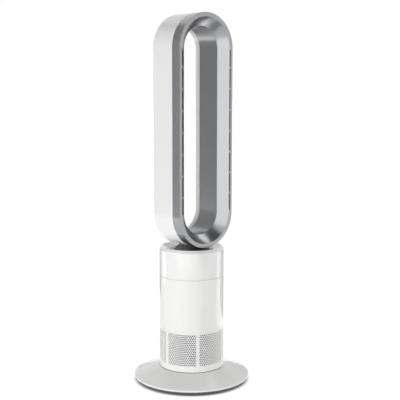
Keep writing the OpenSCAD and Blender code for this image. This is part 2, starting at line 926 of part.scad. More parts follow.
// Diffuser: nacelle, straightening vanes and outer ring
module diffuser() {
    ring_out_r = shroud_r - fit;
    color(dark)
    union() {
        difference() {
            translate([0, 0, nacelle_z])
                cylinder(r = nacelle_r, h = motor_top_z - nacelle_z);
            translate([0, 0, nacelle_z + nacelle_floor_t])
                cylinder(r = nacelle_in_r, h = motor_h + motor_gap + overrun);
            translate([0, 0, nacelle_z - overrun])
                cylinder(r = bearing_r, h = motor_gap);
        }
        translate([0, 0, vane_z])
            tube(ring_out_r, ring_out_r - nacelle_wall, vane_h);
        intersection() {
            translate([0, 0, vane_z])
                tube(ring_out_r - nacelle_wall / 2, nacelle_r - nacelle_wall / 2, vane_h);
            around(vane_count, nacelle_r - nacelle_wall)
                translate([0, 0, vane_z + vane_h / 2])
                    rotate([vane_tilt, 0, 0])
                        translate([0, -vane_t / 2, -vane_h])
                            cube([ring_out_r - nacelle_r + nacelle_wall, vane_t, 2 * vane_h]);
        }
    }
}

// Cap that closes the nacelle above the motor
module nacelle_cap() {
    color(dark)
    translate([0, 0, motor_top_z + fit])
        difference() {
            rotate_extrude()
                polygon([
                    [0, 0],
                    [nacelle_r, 0],
                    [nacelle_r, cap_wall],
                    [cap_top_r, cap_h],
                    [0, cap_h]]);
            translate([0, 0, -overrun])
                cylinder(r1 = nacelle_in_r, r2 = cap_top_r, h = cap_h - cap_wall);
        }
}

// Duct that narrows from the shroud to the rotating neck
module outlet_duct() {
    socket_w = shroud_wall + duct_wall;
    color(dark)
    rotate_extrude()
        polygon([
            [shroud_r, shroud_top_z + fit],
            [shroud_r + shroud_wall + fit, shroud_top_z + fit],
            [shroud_r + shroud_wall + fit, shroud_top_z - socket_w],
            [shroud_r + socket_w, shroud_top_z - socket_w],
            [shroud_r + socket_w, shroud_top_z + duct_wall],
            [duct_out_r, duct_cone_z + duct_wall],
            [duct_out_r, duct_top_z],
            [duct_in_r, duct_top_z],
            [duct_in_r, duct_cone_z]]);
}

// Soft ring that seals the gap between the duct and the turning neck
module duct_seal() {
    color(black)
    translate([0, 0, duct_top_z])
        tube(neck_r + run_gap + seal_w, neck_r + run_gap, seal_t);
}

// Upper housing: the lip, dish, swivel deck, screw posts and board rails
module upper_housing() {
    step_r = cone_r + run_gap;
    lip_r = column_r - shoulder_w;
    color(white)
    difference() {
        union() {
            rotate_extrude()
                polygon([
                    [housing_in_r, seam_z + seam_gap / 2],
                    [column_r, seam_z + seam_gap / 2],
                    [column_r, lip_z - shoulder_h],
                    [lip_r, lip_z],
                    [step_r, cone_z],
                    [step_r, deck_z],
                    [hub_r + run_gap, deck_z],
                    [hub_r + run_gap, deck_under_z],
                    [step_r, deck_under_z],
                    [housing_in_r - shoulder_h, lip_z - dish_drop],
                    [housing_in_r, lip_z - dish_drop - shoulder_h]]);
            rotate_extrude()
                polygon([
                    [housing_in_r - fit, seam_z - spigot_h],
                    [housing_in_r - fit, seam_z + seam_gap],
                    [housing_in_r + spigot_w, seam_z + seam_gap],
                    [housing_in_r + spigot_w, seam_z + seam_gap + spigot_w],
                    [housing_in_r - fit - spigot_w, seam_z + seam_gap + spigot_w],
                    [housing_in_r - fit - spigot_w, seam_z - spigot_h]]);
            translate([0, 0, seam_z - spigot_h])
                intersection() {
                    cylinder(r = housing_in_r - fit, h = seam_boss_h);
                    around(seam_boss_count, seam_boss_ring_r, seam_boss_turn) {
                        cylinder(r = seam_boss_r, h = seam_boss_h);
                        translate([0, -seam_boss_r / 2, 0])
                            cube([2 * seam_boss_r, seam_boss_r, seam_boss_h]);
                    }
                }
            for (side = [-1, 1])
                translate([gear_centre, side * ear_reach, motor_face_z + fit])
                    cylinder(r = ear_r, h = deck_under_z - motor_face_z);
            intersection() {
                translate([0, 0, board_z - rail_stop])
                    cylinder(r = column_r - overrun, h = board_h + rail_stop);
                for (side = [-1, 1])
                    translate([side * (board_w / 2 + fit - rail_cover / 2 + rail_w / 2) - rail_w / 2,
                        board_y - rail_depth, board_z - rail_stop])
                        cube([rail_w, housing_in_r, board_h + rail_stop]);
            }
        }
        translate([-board_w / 2 - fit, board_y - fit, board_z - fit])
            cube([board_w + 2 * fit, board_t + 2 * fit, board_h + rail_stop + overrun]);
        for (side = [-1, 1])
            translate([gear_centre, side * ear_reach, motor_face_z])
                cylinder(r = ear_screw_r, h = ear_screw_l);
        translate([0, 0, seam_z - spigot_h - overrun])
            around(seam_boss_count, seam_boss_ring_r, seam_boss_turn)
                cylinder(r = seam_screw_r, h = seam_boss_h - overrun);
        translate([0, board_y + board_t + switch_h + plunger_h, button_z])
            rotate([-90, 0, 0])
                cylinder(r = button_r + run_gap, h = column_r);
    }
}

// Screws up through the lower bosses that hold the upper housing down
module housing_screws() {
    color(steel)
    translate([0, 0, seam_z - seam_gap / 2 - spigot_h - seam_boss_h - fit])
        around(seam_boss_count, seam_boss_ring_r, seam_boss_turn)
            screw(seam_screw_r - shaft_fit, seam_screw_l, seam_head_r, seam_head_h);
}

// Slippery ring on the deck that the turntable runs on
module slide_ring() {
    color(cream)
    translate([0, 0, deck_z])
        tube(hub_r + slide_in + slide_w, hub_r + slide_in, slide_t);
}

// Turntable: the dark cone in the dish, with the hub that passes through the deck
module turntable() {
    under_z = deck_z + slide_t + run_gap;
    color(dark)
    difference() {
        rotate_extrude()
            polygon([
                [hub_in_r, hub_z],
                [hub_r, hub_z],
                [hub_r, under_z],
                [cone_r, under_z],
                [cone_r, cone_z - cone_rim],
                [cone_r - cone_rim, cone_z],
                [cone_top_r, cone_top_z],
                [hub_in_r, cone_top_z]]);
        translate([0, 0, hub_z + hub_end])
            tube(hub_r + overrun, hub_r - clip_groove, clip_t + fit);
    }
}

// Outline of a gear whose first tooth points along +X
function half_tooth(teeth, r) =
    let (
        pitch_r = gear_module * teeth / 2,
        base_r = pitch_r * cos(gear_pressure),
        roll = acos(base_r / max(r, base_r)),
        play = gear_play / 2 / pitch_r * 180 / PI)
    90 / teeth - play
        + (tan(gear_pressure) * 180 / PI - gear_pressure)
        - (tan(roll) * 180 / PI - roll);

function gear_points(teeth) =
    let (
        pitch_r = gear_module * teeth / 2,
        base_r = pitch_r * cos(gear_pressure),
        root_r = pitch_r - gear_dedendum,
        tip_r = pitch_r + gear_addendum,
        start_r = max(base_r, root_r),
        flank = [for (i = [0:flank_steps]) start_r + (tip_r - start_r) * i / flank_steps],
        side = root_r < start_r ? concat([root_r], flank) : flank)
    [for (t = [0:teeth - 1])
        for (k = [0:2 * len(side) - 1])
            let (
                up = k < len(side),
                r = up ? side[k] : side[2 * len(side) - 1 - k],
                a = t * 360 / teeth + (up ? -1 : 1) * half_tooth(teeth, r))
            r * [cos(a), sin(a)]];

// Ring gear keyed to the turntable's hub
module ring_gear() {
    color(cream)
    translate([0, 0, gear_z])
        linear_extrude(height = gear_h)
            difference() {
                polygon(gear_points(ring_teeth));
                circle(r = hub_r + shaft_fit);
            }
}

// Thrust washer between the ring gear and the deck
module thrust_washer() {
    color(cream)
    translate([0, 0, gear_z + gear_h + fit / 2])
        tube(hub_r + washer_w, hub_r + fit, washer_t);
}

// Open spring clip in the hub's groove, below the ring gear
module retaining_clip() {
    color(steel)
    translate([0, 0, hub_z + hub_end + fit / 2])
        rotate(clip_opening / 2)
            rotate_extrude(angle = 360 - clip_opening)
                translate([hub_r - clip_groove + fit, 0])
                    square([clip_w, clip_t]);
}

// Small geared motor that swings the head, hung under the deck by its ears
module swivel_motor() {
    color(steel)
    translate([gear_centre, 0, motor_face_z - swivel_motor_h])
        difference() {
            union() {
                cylinder(r = swivel_motor_r, h = swivel_motor_h);
                translate([-ear_r, -ear_reach, swivel_motor_h - ear_t])
                    cube([2 * ear_r, 2 * ear_reach, ear_t]);
                for (side = [-1, 1])
                    translate([0, side * ear_reach, swivel_motor_h - ear_t])
                        cylinder(r = ear_r, h = ear_t);
            }
            for (side = [-1, 1])
                translate([0, side * ear_reach, swivel_motor_h - ear_t - overrun])
                    cylinder(r = ear_screw_r + fit, h = ear_t + 2 * overrun);
            translate([0, 0, swivel_motor_h - output_in - fit])
                cylinder(r = output_r + shaft_fit, h = output_in + overrun);
        }
}

// Screws through the swivel motor's ears
module swivel_screws() {
    color(steel)
    for (side = [-1, 1])
        translate([gear_centre, side * ear_reach, motor_face_z - ear_t])
            screw(ear_screw_r - shaft_fit, ear_screw_l, ear_head_r, ear_head_h);
}

// The swivel motor's output shaft
module output_shaft() {
    color(steel)
    translate([gear_centre, 0, motor_face_z - output_in])
        cylinder(r = output_r, h = output_in + gear_z + gear_h - motor_face_z);
}

// Drive pinion, with a gap between two teeth facing the ring gear
module drive_pinion() {
    turn = 180 + (pinion_teeth % 2 == 0 ? 180 / pinion_teeth : 0);
    color(cream)
    translate([gear_centre, 0, gear_z - pinion_over])
        difference() {
            linear_extrude(height = gear_h + pinion_over)
                rotate(turn)
                    polygon(gear_points(pinion_teeth));
            translate([0, 0, -overrun])
                cylinder(r = output_r + shaft_fit / 2, h = gear_h + pinion_over + 2 * overrun);
        }
}

// Control board behind the power button
module control_board() {
    color(board_green)
    translate([-board_w / 2, board_y, board_z])
        cube([board_w, board_t, board_h]);
}

// Parts on the control board: the button's switch, capacitors, choke, plug sockets and chip
module board_parts() {
    color(black) {
        translate([0, board_y + board_t, button_z])
            rotate([-90, 0, 0]) {
                translate([-switch_w / 2, -switch_w / 2, 0])
                    cube([switch_w, switch_w, switch_h]);
                cylinder(r = plunger_r, h = switch_h + plunger_h - fit);
            }
        for (i = [0:2])
            translate([-board_w / 2 + capacitor_r * (2 + 2.4 * i), board_y, board_z + 2 * capacitor_r])
                rotate([90, 0, 0])
                    cylinder(r = capacitor_r, h = capacitor_h);
        translate([board_w / 2 - 2 * choke_w, board_y - choke_h, board_z + choke_w])
            cube([choke_w, choke_h, choke_w]);
        for (i = [0:2])
            translate([-board_w / 2 + socket_w * (1 + 1.4 * i), board_y - socket_d, board_z + board_h - 2 * socket_h])
                cube([socket_w, socket_d, socket_h]);
        translate([board_w / 2 - 2 * chip_w, board_y + board_t, board_z + chip_w])
            cube([chip_w, chip_h, chip_w]);
    }
}

// Power button on the rear of the upper housing, with its retaining flange and stem
module power_button() {
    flange_y = sqrt(pow(housing_in_r, 2) - pow(button_r + flange_w, 2)) - flange_back;
    stem_y = board_y + board_t + switch_h + plunger_h + button_travel;
    face_y = column_r + button_proud;
    color(dark)
    translate([0, 0, button_z])
        rotate([-90, 0, 0])
            rotate_extrude()
                polygon([
                    [0, stem_y],
                    [stem_r, stem_y],
                    [stem_r, flange_y - flange_t],
                    [button_r + flange_w, flange_y - flange_t],
                    [button_r + flange_w, flange_y],
                    [button_r, flange_y],
                    [button_r, face_y - button_face_round],
                    [button_r - button_face_round, face_y],
                    [0, face_y]]);
}

// Sweeps a section round the loop. The section's x is the distance from the loop's
// centre line and its y is the distance in front of the neck's axis.
module loop_sweep() {
    translate([0, 0, loop_high_z])
        rotate([90, 0, 0])
            rotate_extrude(angle = 180)
                children();
    translate([0, 0, loop_low_z])
        rotate([90, 0, 0])
            rotate(180)
                rotate_extrude(angle = 180)
                    children();
    for (side = [0, 1])
        mirror([side, 0, 0])
            translate([0, 0, loop_low_z])
                mirror([0, 1, 0])
                    linear_extrude(height = loop_straight)
                        children();
}

// A cylinder along the loop's own axis, about the lower round end
module low_disc(radius) {
    translate([0, loop_back, loop_low_z])
        rotate([90, 0, 0])
            cylinder(r = radius, h = loop_back + loop_front);
}

// Neck: the tube from the duct up into the loop, with a saddle flange inside the loop
module neck_duct() {
    saddle_out_r = shell_in_r - fit - gasket_t;
    saddle_in_r = saddle_out_r - saddle_t;
    top_z = loop_low_z - sqrt(pow(saddle_in_r, 2) - pow(neck_r, 2));
    color(dark)
    difference() {
        union() {
            translate([0, 0, neck_z])
                cylinder(r = neck_r, h = top_z - neck_z);
            intersection() {
                translate([0, 0, lip_z])
                    cylinder(r = saddle_r, h = loop_r / 2);
                low_disc(saddle_out_r);
            }
        }
        low_disc(saddle_in_r);
        translate([0, 0, neck_z - overrun])
            cylinder(r = neck_in_r, h = loop_r);
    }
}

// Soft gasket between the saddle flange and the loop's bottom wall
module neck_gasket() {
    color(black)
    difference() {
        intersection() {
            translate([0, 0, lip_z])
                cylinder(r = saddle_r, h = loop_r / 2);
            low_disc(shell_in_r - fit / 2);
        }
        low_disc(shell_in_r - gasket_t - fit / 2);
        translate([0, 0, lip_z - overrun])
            cylinder(r = neck_r + fit, h = loop_r);
    }
}

// Section of the white shell: outer wall, rounded rear and the return to the opening
shell_section = concat(
    [[shell_in_r, -band_back], [loop_r, -band_back]],
    arc_points([loop_r - shell_round, loop_back - shell_round], shell_round, 0, 90),
    arc_points([open_r + return_round, loop_back - return_round], return_round, 90, 180),
    [[open_r, liner_back],
     [open_r + loop_wall, liner_back]],
    arc_points([open_r + return_round, loop_back - return_round], return_round - loop_wall, 180, 90),
    arc_points([loop_r - shell_round, loop_back - shell_round], shell_round - loop_wall, 90, 0));

// White rear shell of the loop
module rear_shell() {
    color(white)
    difference() {
        loop_sweep()
            mirror([0, 1])
                polygon(shell_section);
        translate([0, 0, lip_z])
            cylinder(r = neck_hole_r, h = loop_r / 2 - liner_t);
    }
}

// Section of the silver front: band, flat rim, slot lips and bowed nose
nose_in_slope_r = open_r + nose_wall_r;
slot_foot_f = loop_front - slot_lip_d;
front_section = concat(
    [[loop_r, band_back],
     [loop_r, loop_front]],
    bow_points([slot_in_r, loop_front], [open_r, nose_back], -nose_bulge, nose_steps),
    [[nose_in_slope_r, nose_back],
     [slot_in_r - slot_lip_t, nose_back + (slot_in_r - slot_lip_t - nose_in_slope_r) * nose_slope],
     [slot_in_r - slot_lip_t, slot_foot_f],
     [slot_in_r, slot_foot_f],
     [slot_in_r, loop_front - loop_wall],
     [slot_out_r, loop_front - loop_wall],
     [slot_out_r, slot_foot_f],
     [slot_out_r + slot_lip_t, slot_foot_f],
     [slot_out_r + slot_lip_t, loop_front - loop_wall],
     [shell_in_r, loop_front - loop_wall],
     [shell_in_r, band_back + lip_lead],
     [shell_in_r - fit - lip_t, band_back + lip_lead / 2],
     [shell_in_r - fit - lip_t, band_back - lip_back],
     [shell_in_r - fit, band_back - lip_back],
     [shell_in_r - fit, band_back]]);

// Silver front of the loop, with the slotted rim and its ribs
module front_frame() {
    slot_l = loop_straight - 2 * slot_end;
    color(silver)
    difference() {
        loop_sweep()
            polygon(front_section);
        for (side = [-1, 1])
            difference() {
                translate([side * (slot_in_r + slot_w / 2) - slot_w / 2, -loop_front - overrun,
                    loop_low_z + slot_end])
                    cube([slot_w, loop_wall + 2 * overrun, slot_l]);
                for (i = [0:rib_count - 1])
                    translate([side * (slot_in_r + slot_w / 2) - slot_w, -loop_front - 2 * overrun,
                        loop_mid_z + (i - (rib_count - 1) / 2) * rib_pitch - rib_w / 2])
                        cube([2 * slot_w, loop_wall + 4 * overrun, rib_w]);
            }
        translate([0, 0, lip_z])
            cylinder(r = neck_hole_r, h = loop_r / 2 - liner_t);
        intersection() {
            translate([0, 0, lip_z])
                cylinder(r = saddle_r + run_gap, h = loop_r / 2 - liner_t);
            low_disc(shell_in_r - fit / 2);
        }
    }
}

// Silver liner of the opening, with a tongue behind the shell's return
module inner_liner() {
    tongue_r = open_r + loop_wall + fit;
    front_f = nose_back - joint_gap;
    back_f = joint_gap - liner_back;
    color(silver)
    loop_sweep()
        polygon([
            [open_r, front_f],
            [open_r, back_f],
            [open_r + liner_t, back_f],
            [tongue_r, back_f],
            [tongue_r, back_f - tongue_w / 2],
            [tongue_r + tongue_t, back_f - tongue_w / 2],
            [tongue_r + tongue_t, back_f + tongue_root],
            [open_r + liner_t, back_f + tongue_root],
            [open_r + liner_t, front_f]]);
}

base_cover();
base_tray();
ballast_plate();
rubber_feet();
tray_screws();
column_gasket();
column_bolts();
lower_housing();
intake_screens();
dust_filter();
cord_gland();
inlet_ring();
blower_shroud();
shroud_screws();
impeller();
impeller_nut();
motor_shaft();
rotor_magnet();
motor_can();
motor_stator();
motor_coils();
motor_bearings();
motor_mounts();
diffuser();
nacelle_cap();
outlet_duct();
duct_seal();
upper_housing();
housing_screws();
slide_ring();
turntable();
ring_gear();
thrust_washer();
retaining_clip();
swivel_motor();
swivel_screws();
output_shaft();
drive_pinion();
control_board();
board_parts();
power_button();
neck_duct();
neck_gasket();
rear_shell();
front_frame();
inner_liner();
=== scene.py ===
"""Looks of the bladeless tower fan: skins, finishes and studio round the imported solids."""

import math

import bmesh
import bpy
from mathutils import Matrix, Vector


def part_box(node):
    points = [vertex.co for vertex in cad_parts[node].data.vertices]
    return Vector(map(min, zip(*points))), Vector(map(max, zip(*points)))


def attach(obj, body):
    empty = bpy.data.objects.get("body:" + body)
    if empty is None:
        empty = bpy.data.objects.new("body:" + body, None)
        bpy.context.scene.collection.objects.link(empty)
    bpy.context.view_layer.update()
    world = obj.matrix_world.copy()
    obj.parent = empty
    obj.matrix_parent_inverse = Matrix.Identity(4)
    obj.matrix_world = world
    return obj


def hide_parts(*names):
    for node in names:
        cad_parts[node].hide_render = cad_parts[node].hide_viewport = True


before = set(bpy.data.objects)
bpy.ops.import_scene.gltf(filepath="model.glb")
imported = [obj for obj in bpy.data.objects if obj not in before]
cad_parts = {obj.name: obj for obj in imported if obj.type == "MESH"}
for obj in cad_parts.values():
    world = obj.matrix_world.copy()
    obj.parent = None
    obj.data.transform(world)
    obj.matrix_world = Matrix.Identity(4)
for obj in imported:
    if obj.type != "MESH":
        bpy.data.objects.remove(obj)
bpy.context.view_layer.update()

bl_info = {
    "name": "Bladeless Tower Fan",
    "version": (1, 0, 0),
    "blender": (4, 5, 0),
    "location": "3D View > Sidebar > Fan",
    "description": "Dresses the solids of a bladeless tower fan and sets up its studio",
    "category": "Object",
}

MM = 0.001


def top_mm(node):
    """Highest corner of a CAD node, in millimetres."""
    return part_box(node)[1] / MM


def low_mm(node):
    """Lowest corner of a CAD node, in millimetres."""
    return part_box(node)[0] / MM


# Gaps, in millimetres
FIT = 0.15
PLAY = 0.3
SEAM_GAP = 0.5

# Sizes that the solids give, in millimetres
PLATE_R = top_mm("base_cover").x
PLATE_TOP = top_mm("base_cover").z
EDGE_Z = top_mm("base_tray").z + FIT
COLUMN_R = top_mm("column_gasket").x
COLUMN_Z = low_mm("lower_housing").z
FOOT_R = top_mm("lower_housing").x
SEAM_LOW = top_mm("lower_housing").z
LIP_Z = top_mm("upper_housing").z
WINDOW_LOW = low_mm("intake_screens").z - FIT
WINDOW_TOP = top_mm("intake_screens").z + FIT
BUTTON_Z = (low_mm("power_button").z + top_mm("power_button").z) / 2
CONE_R = top_mm("turntable").x
CONE_TOP = top_mm("turntable").z
HUB_LOW = low_mm("turntable").z
LOOP_R = top_mm("rear_shell").x
LOOP_LOW_C = low_mm("rear_shell").z + LOOP_R
LOOP_HIGH_C = top_mm("rear_shell").z - LOOP_R
LOOP_BACK = top_mm("rear_shell").y
LOOP_FRONT = -low_mm("front_frame").y

# Sizes of the base, in millimetres
PLATE_WALL = 3.0
PLATE_BORE_R = 22.0
PLATE_ROUND = 1.26
PLATFORM_MARGIN = 2.6
BAND_H = 3.05
BAND_FOOT = 0.05

# Sizes of the column and its fittings, in millimetres
HOUSING_WALL = 3.0
FOOT_LAND_W = 18.0
FOOT_FLOOR_T = 4.0
FLARE_H = 8.0
FLARE_ROUND = 3.5
LEDGE_RISE = 12.0
LEDGE_W = 5.0
LEDGE_T = 3.0
LEDGE_H = 8.0
SPIGOT_W = 1.75
SPIGOT_L = 5.25
SPIGOT_ROOT = 1.5
SHOULDER_W = 4.5
SHOULDER_H = 7.0
DISH_DROP = 10.0
DECK_T = 4.0
DECK_HOLE_R = 36.3
WINDOWS = 6
WINDOW_ANGLE = 54.0
CUTTER_REACH = 60.0
MESH_MARGIN = 0.5
FLANGE_T = 1.6
GLAND_BORE_R = 3.2
GLAND_R = 4.0
GLAND_FLANGE_R = 4.9
BUTTON_R = 7.0
BUTTON_STEM_R = 2.0
BUTTON_FLANGE_W = 2.0
BUTTON_ROOM = 1.2
BUTTON_RING_W = 1.6
BUTTON_RING_H = 0.35
BUTTON_DISH = 0.45
BUTTON_CUT = 40.0

# Sizes of the cone and the loop, in millimetres
HUB_BORE_R = 31.65
HUB_R = 36.0
CONE_TOP_R = 34.5
CONE_RIM_T = 2.1
NECK_HOLE_R = 31.8
LOOP_WALL = 2.5
RIM_W = 31.25
SHELL_ROUND = 6.5
RETURN_ROUND = 4.0
BAND_BACK = 27.0
LIP_W = 2.35
LIP_L = 5.0
LIP_ROOT = 2.0
NOSE_BACK = 34.0
NOSE_BOW = 1.2
NOSE_STEPS = 8
LINER_BACK = 30.8
LINER_WALL = 2.0
TONGUE_W = 1.5
TONGUE_L = 4.0
SLOT_MARGIN = 6.9
SLOT_W = 3.2
SLOT_WALL = 2.0
SLOT_DEPTH = 10.0
SLOT_END = 3.5
RIBS = 7
RIB_W = 4.0
RIB_PITCH = 51.1
OPEN_R = LOOP_R - RIM_W
SLOT_OUT = LOOP_R - SLOT_MARGIN
SLOT_IN = SLOT_OUT - SLOT_W

# Steps round small and middling pieces and round a corner, which has twice as many past
# LARGE_ROUND millimetres
SMALL_STEPS = 64
MIDDLE_STEPS = 96
ROUND_STEPS = 4
LARGE_ROUND = 3.0

# How far a cutter stands out, in millimetres, and how far apart merged corners are, in metres
CUT_MARGIN = 1.0
MERGE_M = 0.000002
MESH_MERGE_M = 0.00001

# Edges sharper than this stay sharp, in degrees
SHARP_ANGLE = 35.0
COPY_SHARP_ANGLE = 30.0

# The camera's place and lens: angles in degrees, lengths in metres, and the lens in millimetres
CAMERA_TURN = -131.0
CAMERA_AWAY = 2.1753
CAMERA_HEIGHT = 0.7394
CAMERA_DOWN = 7.504
CAMERA_LENS = 79.88
CAMERA_SHIFT = 0.021

# Half the floor's width, in metres, and where it starts to fade, in millimetres from the plate's
# edge
FLOOR_HALF = 30
FADE_INSIDE = 6
FADE_OUTSIDE = 3


def linear(hex_colour):
    """Linear RGBA of an sRGB hex colour."""
    parts = [int(hex_colour[i : i + 2], 16) / 255 for i in (1, 3, 5)]
    return [p / 12.92 if p <= 0.04045 else ((p + 0.055) / 1.055) ** 2.4 for p in parts] + [1.0]


def colour_field(name, description, hex_colour):
    """A colour that the user can change."""
    return bpy.props.FloatVectorProperty(
        name=name,
        description=description,
        subtype="COLOR",
        size=4,
        min=0.0,
        max=1.0,
        default=linear(hex_colour),
    )


def length_field(name, description, millimetres, most):
    """A length that the user can change, in metres."""
    return bpy.props.FloatProperty(
        name=name,
        description=description,
        unit="LENGTH",
        precision=5,
        min=0.00005,
        max=most * MM,
        default=millimetres * MM,
    )


class FanSizes(bpy.types.PropertyGroup):
    """Sizes of the fan's fine details."""

    turn_steps: bpy.props.IntProperty(
        name="Turn steps",
        description="Faces round a full turn of a round piece",
        default=192,
        min=48,
        max=256,
    )
    edge_break: length_field("Edge break", "Rounding of the moulded edges", 0.4, 1.0)
    seam_break: length_field("Seam break", "Rounding beside the joint between the housings", 0.5, 1.0)
    mesh_pitch: length_field("Mesh pitch", "Distance between two holes of the intake mesh", 5.2, 8.0)
    mesh_hole: length_field("Mesh hole", "Width of a hole in the intake mesh", 3.75, 5.0)
    mesh_wall: length_field("Mesh wall", "Thickness of the intake mesh", 2.0, 2.5)


class FanColours(bpy.types.PropertyGroup):
    """Colours of the fan's finishes."""

    white: colour_field("White", "Moulded white housings", "#F4F4F3")
    silver: colour_field("Silver", "Silver front of the loop", "#A2A3A5")
    # The liner colour is the silver one tone darker, as painted shade for the wall inside the opening
    liner: colour_field("Liner", "Silver wall of the opening", "#929395")
    dark: colour_field("Dark grey", "Turning cone, neck and tray", "#68696C")
    rubber: colour_field("Rubber", "Feet, gaskets and gland", "#1D1D1E")
    steel: colour_field("Steel", "Screws, bolts and motor can", "#B9BABA")


# Materials


def node(tree, kind, values=(), links=(), **settings):
    """Adds a node with its settings, socket values and links."""
    made = tree.nodes.new(kind)
    for key, value in settings.items():
        setattr(made, key, value)
    for socket, value in dict(values).items():
        made.inputs[socket].default_value = value
    for socket, source in dict(links).items():
        tree.links.new(source, made.inputs[socket])
    return made


def per_mm(size):
    """Texture scale that makes one feature as large as size, in millimetres."""
    return 1 / (size * MM)


def finish(name, base, shade, roughness, spread, patch, grain, depth, **sockets):
    """A moulded or coated finish.

    The colour drifts between base and shade over patches of patch millimetres, the roughness
    by spread, and a bump of depth millimetres has grains of grain millimetres.
    """
    made = bpy.data.materials.new(name)
    made.use_nodes = True
    tree = made.node_tree
    shader = tree.nodes["Principled BSDF"]
    place = node(tree, "ShaderNodeTexCoord").outputs["Object"]
    drift = node(
        tree, "ShaderNodeTexNoise", {"Scale": per_mm(patch), "Detail": 3.0}, {"Vector": place}
    ).outputs["Fac"]
    colour = node(
        tree, "ShaderNodeMix", {6: base, 7: shade}, {0: drift}, data_type="RGBA"
    ).outputs[2]
    fine = node(
        tree, "ShaderNodeTexNoise", {"Scale": per_mm(grain), "Detail": 2.0}, {"Vector": place}
    ).outputs["Fac"]
    rough = node(
        tree,
        "ShaderNodeMapRange",
        {"To Min": roughness - spread, "To Max": roughness + spread},
        {"Value": fine},
    ).outputs["Result"]
    bump = node(
        tree, "ShaderNodeBump", {"Strength": 1.0, "Distance": depth * MM}, {"Height": fine}
    ).outputs["Normal"]
    tree.links.new(colour, shader.inputs["Base Color"])
    tree.links.new(rough, shader.inputs["Roughness"])
    tree.links.new(bump, shader.inputs["Normal"])
    for socket, value in sockets.items():
        shader.inputs[socket.replace("_", " ")].default_value = value
    return made


def toned(colour, factor):
    """A colour made lighter or darker by a factor."""
    return [min(1.0, channel * factor) for channel in colour[:3]] + [1.0]


def user_colours(name, factor):
    """A colour of the panel, and the same colour made lighter or darker by a factor."""
    colour = getattr(bpy.context.scene.fan_colours, name)
    return list(colour), toned(colour, factor)


def white_abs():
    """High-gloss injection-moulded ABS: clean highlights, very faint orange peel."""
    return finish(
        "white_gloss_abs", *user_colours("white", 0.985),
        roughness=0.12, spread=0.02, patch=90, grain=3.0, depth=0.002,
        IOR=1.54, Coat_Weight=0.35,
    )


def silver_paint():
    """Silver metallic paint on ABS: fine flake that glitters a little and blurs reflections."""
    return finish(
        "silver_metallic_paint", *user_colours("silver", 0.96),
        roughness=0.24, spread=0.04, patch=60, grain=0.4, depth=0.003,
        Metallic=1.0,
    )


def shaded_liner_paint():
    """The same silver paint, one tone darker: painted shade for the wall inside the opening."""
    return finish(
        "liner_metallic_paint", *user_colours("liner", 0.96),
        roughness=0.27, spread=0.04, patch=60, grain=0.4, depth=0.003,
        Metallic=1.0,
    )


def dark_abs():
    """Dark grey ABS from a polished mould: deep, with sharp reflections at low angles."""
    return finish(
        "dark_gloss_abs", *user_colours("dark", 0.9),
        roughness=0.2, spread=0.03, patch=40, grain=2.0, depth=0.003,
        IOR=1.54,
    )


def rubber():
    """Matt moulded nitrile rubber with a dusty bloom."""
    return finish(
        "moulded_rubber", *user_colours("rubber", 1.7),
        roughness=0.72, spread=0.08, patch=8, grain=0.5, depth=0.02,
        IOR=1.5,
    )


def zinc_steel():
    """Zinc-plated steel: bright, with a cloudy spangle."""
    return finish(
        "zinc_plated_steel", *user_colours("steel", 0.8),
        roughness=0.33, spread=0.1, patch=6, grain=1.2, depth=0.006,
        Metallic=1.0,
    )


def ferrite():
    """Sintered ferrite and varnished laminations: dark grey with a dull shine."""
    return finish(
        "sintered_ferrite", linear("#3A3A3D"), linear("#2A2A2D"),
        roughness=0.5, spread=0.1, patch=5, grain=0.8, depth=0.02,
        IOR=2.2,
    )


def copper():
    """Enamelled copper wire: warm metal with fine ridges."""
    return finish(
        "enamelled_copper", linear("#B86B3E"), linear("#9A5230"),
        roughness=0.28, spread=0.05, patch=4, grain=0.6, depth=0.05,
        Metallic=1.0,
    )


def acetal():
    """Natural acetal: milky, waxy and slightly warm."""
    return finish(
        "natural_acetal", linear("#E6E4DA"), linear("#D9D6CA"),
        roughness=0.38, spread=0.05, patch=30, grain=1.5, depth=0.006,
        IOR=1.48,
    )


def nylon_filter():
    """Grey woven nylon: a weave of 0.8 mm, matt."""
    return finish(
        "woven_nylon", linear("#6A6B6C"), linear("#545556"),
        roughness=0.8, spread=0.1, patch=0.8, grain=0.8, depth=0.1,
        IOR=1.53,
    )


def solder_mask():
    """Green solder mask on glass-fibre board."""
    return finish(
        "solder_mask", linear("#14603A"), linear("#0E4C2C"),
        roughness=0.3, spread=0.05, patch=12, grain=1.0, depth=0.01,
        IOR=1.5,
    )


FINISHES = {
    "white_abs": white_abs,
    "silver_abs": silver_paint,
    "liner_silver": shaded_liner_paint,
    "dark_abs": dark_abs,
    "black_rubber": rubber,
    "zinc_steel": zinc_steel,
    "magnet": ferrite,
    "copper_wire": copper,
    "natural_pom": acetal,
    "filter_mesh": nylon_filter,
    "circuit_board": solder_mask,
}
made_finishes = {}


def finish_of(slot):
    """The material of a slot, made once."""
    if slot not in made_finishes:
        made_finishes[slot] = FINISHES[slot]()
    return made_finishes[slot]


# Mesh helpers


def verts_of(geom):
    """The corners among what a mesh operation gives back."""
    return [part for part in geom if isinstance(part, bmesh.types.BMVert)]


def add_piece(name, bm, body, slot, nodes):
    """Turns a bmesh into a shaded object that rides on a body and stands for CAD nodes."""
    mesh = bpy.data.meshes.new(name)
    bm.to_mesh(mesh)
    bm.free()
    return dress(mesh, name, body, slot, nodes)


def dress(mesh, name, body, slot, nodes, sharp_angle=SHARP_ANGLE):
    """Links a mesh as an object, gives it its finish, smooths it, hangs it on its body and hides the
    CAD nodes it stands for.
    """
    mesh.polygons.foreach_set("use_smooth", [True] * len(mesh.polygons))
    mesh.materials.clear()
    mesh.materials.append(finish_of(slot))
    piece = bpy.data.objects.new(name, mesh)
    bpy.context.scene.collection.objects.link(piece)
    shade(piece, sharp_angle)
    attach(piece, body)
    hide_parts(*nodes)
    return piece


